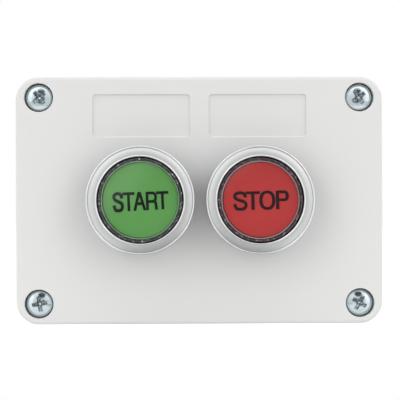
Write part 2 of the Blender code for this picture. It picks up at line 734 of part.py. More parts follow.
def bridge_level(closes):
    """The bridge's middle at rest: in front of the terminals if pressing closes the contact."""
    return bridge_when_closing if closes else bridge_when_opening


def contact_plunger(prefix, axis, closes, colour):
    """The block's slide, which the stem pushes, with a window that carries the bridge."""
    level = bridge_level(closes)
    half_x = PLUNGER_WIDTH / 2
    half_y = PLUNGER_LENGTH / 2
    plunger = box(f"{prefix}_contact_plunger", (-half_x, half_x), (-half_y, half_y),
                  (plunger_back, plunger_front), axis, colour)
    half_window = BRIDGE_WIDTH / 2 + GAP
    high = BRIDGE_THICKNESS / 2 + GAP
    cut(plunger, box(f"{prefix}_bridge_window", (-half_window, half_window),
                     (-half_y - CUT_EXTRA, half_y + CUT_EXTRA), (level - high, level + high), axis))
    return plunger


def contact_bridge(prefix, axis, closes):
    level = bridge_level(closes)
    bridge = box(f"{prefix}_contact_bridge", (-BRIDGE_WIDTH / 2, BRIDGE_WIDTH / 2),
                 (-bridge_end, bridge_end),
                 (level - BRIDGE_THICKNESS / 2, level + BRIDGE_THICKNESS / 2), axis, "contact_brass")
    facing = -1 if closes else 1
    face = level + facing * BRIDGE_THICKNESS / 2
    low, high = sorted((face - facing * BRIDGE_THICKNESS / 2, face + facing * TIP_HEIGHT))
    for side in (-1, 1):
        join(bridge, rod(f"{prefix}_bridge_tip_{side}", TIP_RADIUS, low, high, axis,
                         location=(0, side * tip_y, 0), sides=12))
    return bridge


def contact_spring(prefix, axis):
    return coil_spring(
        f"{prefix}_contact_spring", CONTACT_SPRING_RADIUS, CONTACT_SPRING_WIRE, CONTACT_SPRING_TURNS,
        chamber_back + GAP, plunger_back - GAP, axis,
    )


def terminal(prefix, axis, side, closes):
    """A fixed contact: its tip faces the bridge and its other end lies in the screw pocket."""
    where = "upper" if side > 0 else "lower"
    inner = tip_y - TIP_RADIUS - GAP
    outer = pocket_outside - GAP
    near, far = sorted((side * inner, side * outer))
    half = TERMINAL_WIDTH / 2
    strip = box(f"{prefix}_terminal_{where}", (-half, half), (near, far), (terminal_back, terminal_front),
                axis, "contact_brass")
    low, high = terminal_back, terminal_front + TIP_HEIGHT
    if not closes:
        low, high = terminal_back - TIP_HEIGHT, terminal_front
    join(strip, rod(f"{prefix}_tip_{where}", TIP_RADIUS, low, high, axis,
                    location=(0, side * tip_y, 0), sides=12))
    at = (0, side * terminal_screw_y, 0)
    cut(strip, rod(f"{prefix}_strip_hole_{where}", TERMINAL_SCREW_RADIUS + GAP, terminal_back - CUT_EXTRA,
                   terminal_front + CUT_EXTRA, axis, location=at, sides=16))
    return strip


def terminal_screw(prefix, axis, side):
    where = "upper" if side > 0 else "lower"
    at = (0, side * terminal_screw_y, 0)
    head_front = terminal_back - GAP
    head_back = head_front - TERMINAL_HEAD_HEIGHT
    profile = [
        (0, head_front + TERMINAL_SCREW_LENGTH),
        (TERMINAL_SCREW_RADIUS, head_front + TERMINAL_SCREW_LENGTH),
        (TERMINAL_SCREW_RADIUS, head_front),
        (TERMINAL_HEAD_RADIUS, head_front),
        (TERMINAL_HEAD_RADIUS, head_back),
        (0, head_back),
    ]
    screw = turned(f"{prefix}_terminal_screw_{where}", profile, axis, "zinc_steel", at, sides=16)
    half = TERMINAL_SLOT_WIDTH / 2
    reach = TERMINAL_HEAD_RADIUS + CUT_EXTRA
    cut(screw, box(f"{prefix}_screw_slot_{where}", (-reach, reach), (at[1] - half, at[1] + half),
                   (head_back - CUT_EXTRA, head_back + TERMINAL_SLOT_DEPTH), axis))
    return screw


def pushbutton(prefix, panel, place_x, disc_colour, plunger_colour, closes):
    """One operator with its contact block. Pressing closes the start contact and opens the stop one."""
    axis = axis_empty(f"{prefix}_axis", panel, (place_x, 0, 0))
    bezel(prefix, axis)
    panel_seal(prefix, axis)
    barrel(prefix, axis)
    lock_nut(prefix, axis)
    lens(prefix, axis)
    legend_disc(prefix, axis, disc_colour)
    button_carrier(prefix, axis)
    return_spring(prefix, axis)
    contact_holder(prefix, axis)
    contact_block(prefix, axis)
    contact_cover(prefix, axis)
    contact_plunger(prefix, axis, closes, plunger_colour)
    contact_bridge(prefix, axis, closes)
    contact_spring(prefix, axis)
    for side in (1, -1):
        terminal(prefix, axis, side, closes)
        terminal_screw(prefix, axis, side)


def shade_pieces():
    """Apply the modifiers, and shade smooth up to a piece's sharp edges."""
    bpy.context.view_layer.update()
    graph = bpy.context.evaluated_depsgraph_get()
    pieces = [o for o in collection("pushbutton_control_station").objects if o.type == "MESH"]
    finished = {o.name: bpy.data.meshes.new_from_object(o.evaluated_get(graph)) for o in pieces}
    for obj in pieces:
        obj.modifiers.clear()
        obj.data = finished[obj.name]
        obj.data.shade_smooth()
        obj.data.set_sharp_from_angle(angle=SHARP_ANGLE)


def main():
    clear_scene()
    panel = axis_empty("panel", None, (0, -DEPTH, 0))
    panel.rotation_euler = (math.pi / 2, 0, 0)
    enclosure_base(panel)
    enclosure_lid(panel)
    lid_gasket(panel)
    for name, turn, at in screw_places():
        lid_screw(name, turn, at, panel)
    pushbutton("start", panel, -button_x, "green_disc", "green_plunger", closes=True)
    pushbutton("stop", panel, button_x, "red_disc", "red_plunger", closes=False)
    shade_pieces()


main()
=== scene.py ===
"""Dresses a two-button control station in finished surfaces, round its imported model.

What lies on the lid is drawn in the panel frame: X to the right, Y up and Z out towards the user, with
Z = 0 on the lid's outer face. Each mesh is turned into the world's frame when it is finished.
"""

import math
from functools import partial, partialmethod

import bmesh
import bpy
from mathutils import Matrix, Vector


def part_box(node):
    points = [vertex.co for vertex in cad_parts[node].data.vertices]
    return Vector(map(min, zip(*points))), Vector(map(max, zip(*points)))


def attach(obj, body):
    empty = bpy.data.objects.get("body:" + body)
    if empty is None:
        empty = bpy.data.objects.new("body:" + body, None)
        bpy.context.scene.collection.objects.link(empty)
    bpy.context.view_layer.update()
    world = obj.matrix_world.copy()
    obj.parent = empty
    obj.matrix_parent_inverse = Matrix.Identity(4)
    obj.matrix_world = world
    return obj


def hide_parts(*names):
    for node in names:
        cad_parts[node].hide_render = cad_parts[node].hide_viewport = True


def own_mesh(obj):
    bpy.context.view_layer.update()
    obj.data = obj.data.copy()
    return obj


bl_info = {
    "name": "Two-button control station",
    "version": (1, 0, 0),
    "blender": (4, 5, 0),
    "location": "View3D > Sidebar > Control station",
    "description": "Builds the finished surfaces of a two-button control station",
    "category": "Object",
}

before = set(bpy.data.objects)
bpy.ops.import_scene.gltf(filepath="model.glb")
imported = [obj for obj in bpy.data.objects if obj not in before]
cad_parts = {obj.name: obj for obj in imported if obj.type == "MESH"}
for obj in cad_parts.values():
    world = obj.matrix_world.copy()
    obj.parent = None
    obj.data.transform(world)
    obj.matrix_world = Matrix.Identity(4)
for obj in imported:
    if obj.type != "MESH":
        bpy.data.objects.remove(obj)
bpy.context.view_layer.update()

MM = 0.001
MM_PER_METRE = 1000.0
IMAGE_SIZE = 400
OVERCUT = 1 * MM
CORNER_STEPS = 20
ROUND_STEPS = 6
TURNED_STEPS = 128
CUTTER_STEPS = 48
SHARP_ANGLE = math.radians(38)
INK_LIFT = 0.02 * MM
INK_THICKNESS = 0.03 * MM
ACRYLIC_IOR = 1.49
SCREW_NAMES = ("top_left", "top_right", "bottom_left", "bottom_right")
BUTTONS = ("start", "stop")
# Each letter with its left and right edges and its height, in millimetres.
WORDS = {
    "start": (("s", 0.00, 3.02, 5.47), ("t", 2.72, 6.12, 5.25), ("a", 5.62, 9.26, 5.20),
              ("r", 9.20, 12.47, 5.10), ("t", 12.12, 15.54, 5.06)),
    "stop": (("s", 0.00, 4.03, 5.25), ("t", 3.51, 7.51, 5.15), ("o", 7.27, 11.74, 5.25),
             ("p", 11.89, 15.53, 5.20)),
}
LID_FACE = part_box("enclosure_lid")[0][1]
PANEL = Matrix.Translation((0, LID_FACE, 0)) @ Matrix.Rotation(math.pi / 2, 4, "X")


def node_box(name):
    """A node's lowest and highest corners in the panel frame, as (low, high)."""
    low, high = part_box(name)
    return Vector((low[0], low[2], LID_FACE - high[1])), Vector((high[0], high[2], LID_FACE - low[1]))


def centre_of(name):
    low, high = node_box(name)
    return (low + high) / 2


LID_LOW, LID_HIGH = node_box("enclosure_lid")
WIDTH = LID_HIGH.x - LID_LOW.x
HEIGHT = LID_HIGH.y - LID_LOW.y
RIM = LID_LOW.z
BASE_RIM = RIM - 0.3 * MM
BACK = node_box("enclosure_base")[0].z

Colour = partial(bpy.props.FloatVectorProperty, subtype="COLOR", min=0, max=1)
Length = partial(bpy.props.FloatProperty, unit="LENGTH")
LengthPair = partial(bpy.props.FloatVectorProperty, unit="LENGTH", size=2)
Angle = partial(bpy.props.FloatProperty, subtype="ANGLE")
Strength = partial(bpy.props.FloatProperty, min=0)


class ShellSettings(bpy.types.PropertyGroup):
    """Sizes and finish of the moulded lid and base."""

    colour: Colour(name="Shell colour", description="Colour of the moulded plastic",
                   default=(0.730, 0.733, 0.722))
    shade: Colour(name="Shell shade", description="Slightly darker tone that drifts through the plastic",
                  default=(0.714, 0.717, 0.706))
    roughness: Strength(name="Roughness", description="Roughness of the moulded surface", default=0.7, max=1)
    corner: Length(name="Corner radius", description="Radius of the upright corners", default=6.5 * MM)
    face_fillet: Length(name="Face fillet", description="Rounding round the lid's face", default=1.0 * MM)
    back_fillet: Length(name="Back fillet", description="Rounding round the back face", default=1.5 * MM)
    parting_edge: Length(name="Parting edge", description="Rounding of the two shells' meeting edges",
                         default=0.3 * MM)
    wall: Length(name="Wall", description="Thickness of the walls", default=3.0 * MM)
    column: Length(name="Column radius", description="Radius of the screw columns", default=5.2 * MM)
    pocket_edge: Length(name="Pocket edge", description="Rounding of the edges of wells and label recesses",
                        default=0.17 * MM)
    label_width: Length(name="Label width", description="Width of a label recess", default=27.5 * MM)
    label_height: Length(name="Label height", description="Height of a label recess", default=12.0 * MM)
    label_depth: Length(name="Label depth", description="Depth of a label recess", default=0.5 * MM)


class ScrewSettings(bpy.types.PropertyGroup):
    """Sizes and finish of the lid screws."""

    colour: Colour(name="Plating colour", description="Colour of the zinc plating",
                   default=(0.63, 0.69, 0.76))
    well_radius: Length(name="Well radius", description="Radius of the lid's screw wells", default=4.1 * MM)
    well_depth: Length(name="Well depth", description="Depth of the lid's screw wells", default=3.8 * MM)
    head_radius: Length(name="Head radius", description="Radius of a screw's head", default=3.7 * MM)
    head_height: Length(name="Head height", description="Height of a screw's head", default=2.6 * MM)
    wing_length: Length(name="Wing length", description="Reach of the cross recess from the middle",
                        default=2.15 * MM)
    wing_width: Length(name="Wing width", description="Width of a wing of the cross recess",
                       default=1.15 * MM)
    turns: bpy.props.FloatVectorProperty(
        name="Turns", description="How far each screw is turned, in degrees", size=4,
        default=(40, 35, 10, 60),
    )


class ButtonSettings(bpy.types.PropertyGroup):
    """Sizes and finish of the bezels and the moving caps."""

    silver: Colour(name="Bezel colour", description="Colour of the satin silver ring",
                   default=(0.62, 0.63, 0.63))
    green: Colour(name="Start colour", description="Colour of the start disc", default=(0.111, 0.340, 0.083))
    red: Colour(name="Stop colour", description="Colour of the stop disc", default=(0.490, 0.036, 0.036))
    start_ink: Colour(name="Start ink", description="Colour of the word START",
                      default=(0.003, 0.006, 0.005))
    stop_ink: Colour(name="Stop ink", description="Colour of the word STOP", default=(0.016, 0.004, 0.006))
    start_strokes: LengthPair(name="Start strokes", default=(0.76 * MM, 0.80 * MM),
                              description="Widths of the upright and level strokes of START")
    stop_strokes: LengthPair(name="Stop strokes", default=(0.92 * MM, 0.77 * MM),
                             description="Widths of the upright and level strokes of STOP")
    start_offset: LengthPair(name="Start offset", default=(0.17 * MM, -0.28 * MM),
                             description="Place of the word START against its disc's middle")
    stop_offset: LengthPair(name="Stop offset", default=(0.13 * MM, -0.17 * MM),
                            description="Place of the word STOP against its disc's middle")
    start_tilt: Angle(name="Start tilt", description="How far the start disc is turned in its cap",
                      default=math.radians(2.3))
    stop_tilt: Angle(name="Stop tilt", description="How far the stop disc is turned in its cap",
                     default=math.radians(1.4))


class StageSettings(bpy.types.PropertyGroup):
    """Camera, lamps and floor."""

    distance: Length(name="Camera distance", description="From the lens to the lid's face", default=0.470)
    seen_width: Length(name="Seen width", description="Width of the picture on the lid's face",
                       default=0.11325)
    camera_offset: LengthPair(name="Camera offset", default=(-11 * MM, -4 * MM),
                              description="How far the camera stands beside and above the middle")
    roll: Angle(name="Roll", description="How far the camera is turned about its own axis",
                default=math.radians(-0.2))
    sky: Strength(name="Sky", description="Strength of the even light from all round", default=1.27)
    overhead: Strength(name="Overhead", description="How much stronger the light is above than at the side",
                       default=0.55, max=1)
    front: Strength(name="Front", description="Strength of the even light from the camera's side",
                    default=0.2)
    front_seen: Strength(name="Front seen", description="Brightness of the mirrored camera and its stand",
                         default=0.08)
    back: Strength(name="Back", description="Strength of the light from the white backdrop", default=0.74)
    side_power: Strength(name="Side lamps", description="Power of each lamp beside the camera, in watts",
                         default=0.35)
    top_power: Strength(name="Top lamp", description="Power of the lamp above the camera, in watts",
                        default=0.75)


class Net:
    """A node tree, with short ways to add its nodes. A value is a socket or what a socket holds."""

    def __init__(self, tree):
        self.tree = tree

    def fill(self, node, inputs):
        """Gives some of a node's inputs their values."""
        for label, value in inputs.items():
            if isinstance(value, bpy.types.NodeSocket):
                self.tree.links.new(value, node.inputs[label])
            else:
                node.inputs[label].default_value = value

    def node(self, kind, inputs, **settings):
        node = self.tree.nodes.new(f"ShaderNode{kind}")
        for name, value in settings.items():
            setattr(node, name, value)
        self.fill(node, inputs)
        return node

    def maths(self, operation, *values):
        return self.node("Math", dict(enumerate(values)), operation=operation).outputs[0]

    add = partialmethod(maths, "ADD")
    subtract = partialmethod(maths, "SUBTRACT")
    multiply = partialmethod(maths, "MULTIPLY")
    divide = partialmethod(maths, "DIVIDE")
    most = partialmethod(maths, "MAXIMUM")
    size = partialmethod(maths, "ABSOLUTE")
    inverse = partialmethod(maths, "SUBTRACT", 1.0)

    def blend(self, mask, first, second):
        """The first value where the mask is 0 and the second where it is 1."""
        return self.add(self.multiply(self.inverse(mask), first), self.multiply(mask, second))

    def fade(self, value, low, high):
        """0 below the first limit and 1 above the second, with a smooth rise between."""
        inputs = {"Value": value, "From Min": low, "From Max": high}
        return self.node("MapRange", inputs, interpolation_type="SMOOTHSTEP").outputs[0]

    def noise(self, where, grain, detail=2.0, roughness=0.5):
        """Noise with a grain size in millimetres."""
        scale = self.divide(MM_PER_METRE, grain)
        inputs = {"Vector": where, "Scale": scale, "Detail": detail, "Roughness": roughness}
        return self.node("TexNoise", inputs).outputs["Fac"]

    def drift(self, mask, first, second):
        """A colour that drifts from one to another with a mask."""
        inputs = {"A": (*first, 1), "B": (*second, 1), "Factor": mask}
        return self.node("Mix", inputs, data_type="RGBA").outputs["Result"]

    def relief(self, height, depth):
        return self.node("Bump", {"Height": height, "Distance": depth}).outputs["Normal"]

    def place(self, kind="Object"):
        """Coordinates on the piece, or the direction in a world."""
        return self.node("TexCoord", {}).outputs[kind]

    def split(self, vector):
        return self.node("SeparateXYZ", {0: vector}).outputs

    def rays(self):
        return self.node("LightPath", {}).outputs

    def show(self, shader):
        self.fill(self.tree.nodes["Material Output"], {"Surface": shader.outputs[0]})


def new_group(name, inputs, outputs):
    """A shader node group with named number sockets, as (net, its own inputs, its end node)."""
    net = Net(bpy.data.node_groups.new(name, "ShaderNodeTree"))
    sockets = net.tree.interface
    for label, value in inputs.items():
        sockets.new_socket(name=label, in_out="INPUT", socket_type="NodeSocketFloat").default_value = value
    for label in outputs:
        sockets.new_socket(name=label, in_out="OUTPUT", socket_type="NodeSocketFloat")
    return net, net.tree.nodes.new("NodeGroupInput").outputs, net.tree.nodes.new("NodeGroupOutput")


def moulded_grain_group():
    """The spark-eroded grain of a moulding tool, with the slow drift of tone that a big face shows."""
    net, sizes, end = new_group("Moulded Grain", {"Grain Size": 0.2, "Drift Size": 25.0},
                                ("Height", "Tone", "Roughness Shift"))
    where = net.place()
    fine = net.noise(where, sizes["Grain Size"], 3.0, 0.6)
    net.fill(end, {"Height": fine, "Tone": net.noise(where, sizes["Drift Size"]),
                   "Roughness Shift": net.multiply(net.subtract(fine, 0.5), 0.12)})
    return net.tree


def turned_finish_group():
    """Fine rings round a piece's axis with flecks across them, as on a satin plated ring."""
    net, sizes, end = new_group("Turned Finish", {"Ring Pitch": 0.06, "Fleck Size": 0.35},
                                ("Height", "Fleck", "Roughness Shift"))
    where = net.place()
    x, y, z = net.split(where)
    radius = net.maths("POWER", net.add(net.multiply(x, x), net.multiply(z, z)), 0.5)
    ring = net.node("CombineXYZ", {"X": radius, "Y": net.multiply(y, 0.3)}).outputs[0]
    rings = net.noise(ring, sizes["Ring Pitch"])
    flecks = net.noise(where, sizes["Fleck Size"], 3.0, 0.7)
    net.fill(end, {"Height": net.add(net.multiply(rings, 0.35), net.multiply(flecks, 0.65)),
                   "Fleck": flecks, "Roughness Shift": net.multiply(net.subtract(flecks, 0.5), 0.25)})
    return net.tree


def place_effect(net, name, build, sizes):
    """Places a shared effect, which is built the first time, and gives its outputs."""
    return net.node("Group", sizes, node_tree=bpy.data.node_groups.get(name) or build()).outputs


def moulded_grain(net, grain, drift):
    return place_effect(net, "Moulded Grain", moulded_grain_group, {"Grain Size": grain, "Drift Size": drift})


def start_material(name, inputs):
    """A material whose Principled shader has some inputs set, as (material, net, shader)."""
    material = bpy.data.materials.new(name)
    material.use_nodes = True
    net = Net(material.node_tree)
    shader = material.node_tree.nodes["Principled BSDF"]
    net.fill(shader, inputs)
    return material, net, shader


def dress_shader(net, shader, effect, mask, colours, roughness, depth):
    """Lets colour, gloss and relief follow an effect."""
    net.fill(shader, {"Base Color": net.drift(mask, *colours),
                      "Roughness": net.add(effect["Roughness Shift"], roughness),
                      "Normal": net.relief(effect["Height"], depth)})


def moulded_material(name, colour, shade, roughness, grain=0.2, drift=25.0, depth=0.004 * MM, gloss=0.5):
    """Moulded plastic with a fine grain."""
    material, net, shader = start_material(name, {"Specular IOR Level": gloss})
    effect = moulded_grain(net, grain, drift)
    dress_shader(net, shader, effect, effect["Tone"], (colour, shade), roughness, depth)
    return material


def metal_material(name, colour, shade, roughness, pitch=0.06, fleck=0.35, depth=0.003 * MM, crisp=False):
    """Plated or drawn metal with fine turning marks, and with hard-edged flecks where it is crisp."""
    material, net, shader = start_material(name, {"Metallic": 1.0})
    effect = place_effect(net, "Turned Finish", turned_finish_group,
                          {"Ring Pitch": pitch, "Fleck Size": fleck})
    mask = net.fade(effect["Fleck"], 0.44, 0.58) if crisp else effect["Fleck"]
    dress_shader(net, shader, effect, mask, (colour, shade), roughness, depth)
    return material


def lens_material():
    """Clear moulded plastic. Lamp light and scattered light go straight through to what lies behind it."""
    material, net, shader = start_material("moulded_lens", {
        "Base Color": (0.97, 0.985, 0.975, 1), "Transmission Weight": 1.0, "IOR": ACRYLIC_IOR})
    tone = moulded_grain(net, 3.0, 9.0)["Tone"]
    net.fill(shader, {"Roughness": net.add(net.multiply(tone, 0.04), 0.005)})
    rays = net.rays()
    through = net.most(rays["Is Shadow Ray"], rays["Is Diffuse Ray"])
    clear = net.node("BsdfTransparent", {})
    net.show(net.node("MixShader", {0: through, 1: shader.outputs[0], 2: clear.outputs[0]}))
    return material


def rim_material(name, colour, painted_glint, grain):
    """The lens's rim: dark, because the black cap shows through it, with painted glints: a lighter colour
    where its grain rises.
    """
    material, net, shader = start_material(name, {"IOR": ACRYLIC_IOR, "Roughness": 0.2})
    effect = moulded_grain(net, grain, grain * 3.6)
    painted_glints = net.multiply(net.fade(effect["Height"], 0.55, 0.62), net.fade(effect["Tone"], 0.42, 0.54))
    net.fill(shader, {"Base Color": net.drift(painted_glints, colour, painted_glint),
                      "Normal": net.relief(effect["Height"], 0.04 * MM)})
    return material


def shade_of(colour, share):
    return tuple(c * share for c in colour)


def paint(obj, materials, indices):
    """Adds further materials to a finished piece and gives each of its faces one of them."""
    for material in materials:
        obj.data.materials.append(material)
    obj.data.polygons.foreach_set("material_index", indices)


def arc(centre, radius, first, last, steps):
    """Points on an arc, with its angles in degrees."""
    points = []
    for i in range(steps + 1):
        angle = math.radians(first + (last - first) * i / steps)
        points.append((centre[0] + radius * math.cos(angle), centre[1] + radius * math.sin(angle)))
    return points


def rounded_rectangle(width, height, radius, steps):
    points = []
    for side_x, side_y, first in ((1, 1, 0), (-1, 1, 90), (-1, -1, 180), (1, -1, 270)):
        centre = (side_x * (width / 2 - radius), side_y * (height / 2 - radius))
        points += arc(centre, radius, first, first + 90, steps)
    return points


def cross_outline(wing):
    """A cross from the points of its right wing."""
    outline = []
    for _ in range(4):
        outline += wing
        wing = [(-y, x) for x, y in wing]
    return outline


def chamber_outline(shell, offset=0.0):
    """The inner wall line, which steps round the screw columns, moved outwards into the walls."""
    half_x = WIDTH / 2 - shell.wall
    half_y = HEIGHT / 2 - shell.wall
    screw = centre_of("lid_screw_top_right")
    reach_y = math.sqrt(shell.column**2 - (half_x - screw.x) ** 2)
    reach_x = math.sqrt(shell.column**2 - (half_y - screw.y) ** 2)
    first = math.degrees(math.atan2(-reach_y, half_x - screw.x))
    last = math.degrees(math.atan2(half_y - screw.y, -reach_x)) - 360
    column = arc(screw, shell.column - offset, first, last, CORNER_STEPS)
    if offset > 0:
        lower = arc((half_x, screw.y - reach_y), offset, 0, first + 180, ROUND_STEPS)
        upper = arc((screw.x - reach_x, half_y), offset, last + 180, 90, ROUND_STEPS)
        column = lower[:-1] + column + upper[1:]
    backwards = column[::-1]
    upper_half = column + [(-x, y) for x, y in backwards]
    return upper_half + [(-x, -y) for x, y in column] + [(x, -y) for x, y in backwards]


def lift(outline, level, at=(0, 0)):
    return [(x + at[0], y + at[1], level) for x, y in outline]


def turn_points(points, angle):
    return [(x * math.cos(angle) - y * math.sin(angle), x * math.sin(angle) + y * math.cos(angle))
            for x, y in points]


def loft(rings, closed=False):
    """A mesh through rings of (x, y, z) points, capped at both ends or joined end to end."""
    shape = bmesh.new()
    layers = [[shape.verts.new(point) for point in ring] for ring in rings]
    pairs = list(zip(layers, layers[1:]))
    if closed:
        pairs.append((layers[-1], layers[0]))
    for lower, upper in pairs:
        for i in range(len(lower)):
            j = (i + 1) % len(lower)
            shape.faces.new((lower[i], lower[j], upper[j], upper[i]))
    if not closed:
        shape.faces.new(layers[0][::-1])
        shape.faces.new(layers[-1])
    bmesh.ops.remove_doubles(shape, verts=shape.verts, dist=0.0001 * MM)
    bmesh.ops.recalc_face_normals(shape, faces=shape.faces)
    return shape


def turned(profile, steps=TURNED_STEPS, closed=False, at=(0, 0)):
    """A profile of (radius, level) turned about an upright axis."""
    turns = [2 * math.pi * i / steps for i in range(steps)]
    rings = [[(radius * math.cos(turn), radius * math.sin(turn), level) for turn in turns]
             for radius, level in profile]
    shape = loft(rings, closed)
    bmesh.ops.translate(shape, vec=(at[0], at[1], 0), verts=shape.verts)
    return shape


def rod(radius, low, high, at, steps=CUTTER_STEPS):
    return turned([(0, low), (radius, low), (radius, high), (0, high)], steps, at=at)


def prism(outline, low, high):
    return loft([lift(outline, low), lift(outline, high)])


def ring_prism(outside, inside, low, high):
    """A wall between two outlines with as many points each."""
    corners = ((outside, low), (outside, high), (inside, high), (inside, low))
    return loft([lift(outline, level) for outline, level in corners], closed=True)


def object_from(name, shape):
    mesh = bpy.data.meshes.new(name)
    shape.to_mesh(mesh)
    shape.free()
    obj = bpy.data.objects.new(name, mesh)
    bpy.context.scene.collection.objects.link(obj)
    return obj


def applied_mesh(obj):
    """An object's mesh with its modifiers, or its curves, turned into plain faces."""
    graph = bpy.context.evaluated_depsgraph_get()
    return bpy.data.meshes.new_from_object(obj.evaluated_get(graph))


def combine(obj, shapes, operation="DIFFERENCE"):
    """Cuts shapes from an object, or joins them to it."""
    for i, shape in enumerate(shapes):
        other = object_from(f"{obj.name}_tool_{i}", shape)
        modifier = obj.modifiers.new("Combine", "BOOLEAN")
        modifier.object = other
        modifier.operation = operation
        modifier.solver = "EXACT"
        mesh = applied_mesh(obj)
        obj.modifiers.clear()
        obj.data = mesh
        bpy.data.objects.remove(other, do_unlink=True)


def finish_piece(obj, material, body, replaces=(), at=(0, 0)):
    """Turns a piece into the world's frame, with its origin at a point of the lid's face, and shades it."""
    obj.data.name = obj.name
    obj.data.transform(PANEL.to_3x3().to_4x4())
    obj.location = PANEL @ Vector((at[0], at[1], 0))
    obj.data.materials.clear()
    obj.data.materials.append(material)
    obj.data.shade_smooth()
    obj.data.set_sharp_from_angle(angle=SHARP_ANGLE)
    obj.modifiers.new("Even shading", "WEIGHTED_NORMAL").keep_sharp = True
    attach(obj, body)
    if replaces:
        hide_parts(*replaces)


def shell_block(shell, low, high, front, back):
    """A shell's outer block, with its front and back edges rounded."""
    levels = arc((low + back, back), back, 180, 270, ROUND_STEPS)
    levels += arc((high - front, front), front, -90, 0, ROUND_STEPS)
    rings = []
    for level, inset in levels:
        outline = rounded_rectangle(WIDTH - 2 * inset, HEIGHT - 2 * inset, shell.corner - inset, CORNER_STEPS)
        rings.append(lift(outline, level))
    return loft(rings)


def pocket_levels(depth, edge, floor_edge):
    """Levels and growths of a pocket cutter, whose mouth flares so that it leaves a rounded edge."""
    floor = arc((floor_edge - depth, -floor_edge), floor_edge, 180, 90, ROUND_STEPS)
    return floor + arc((-edge, edge), edge, -90, 0, ROUND_STEPS) + [(OVERCUT, edge)]


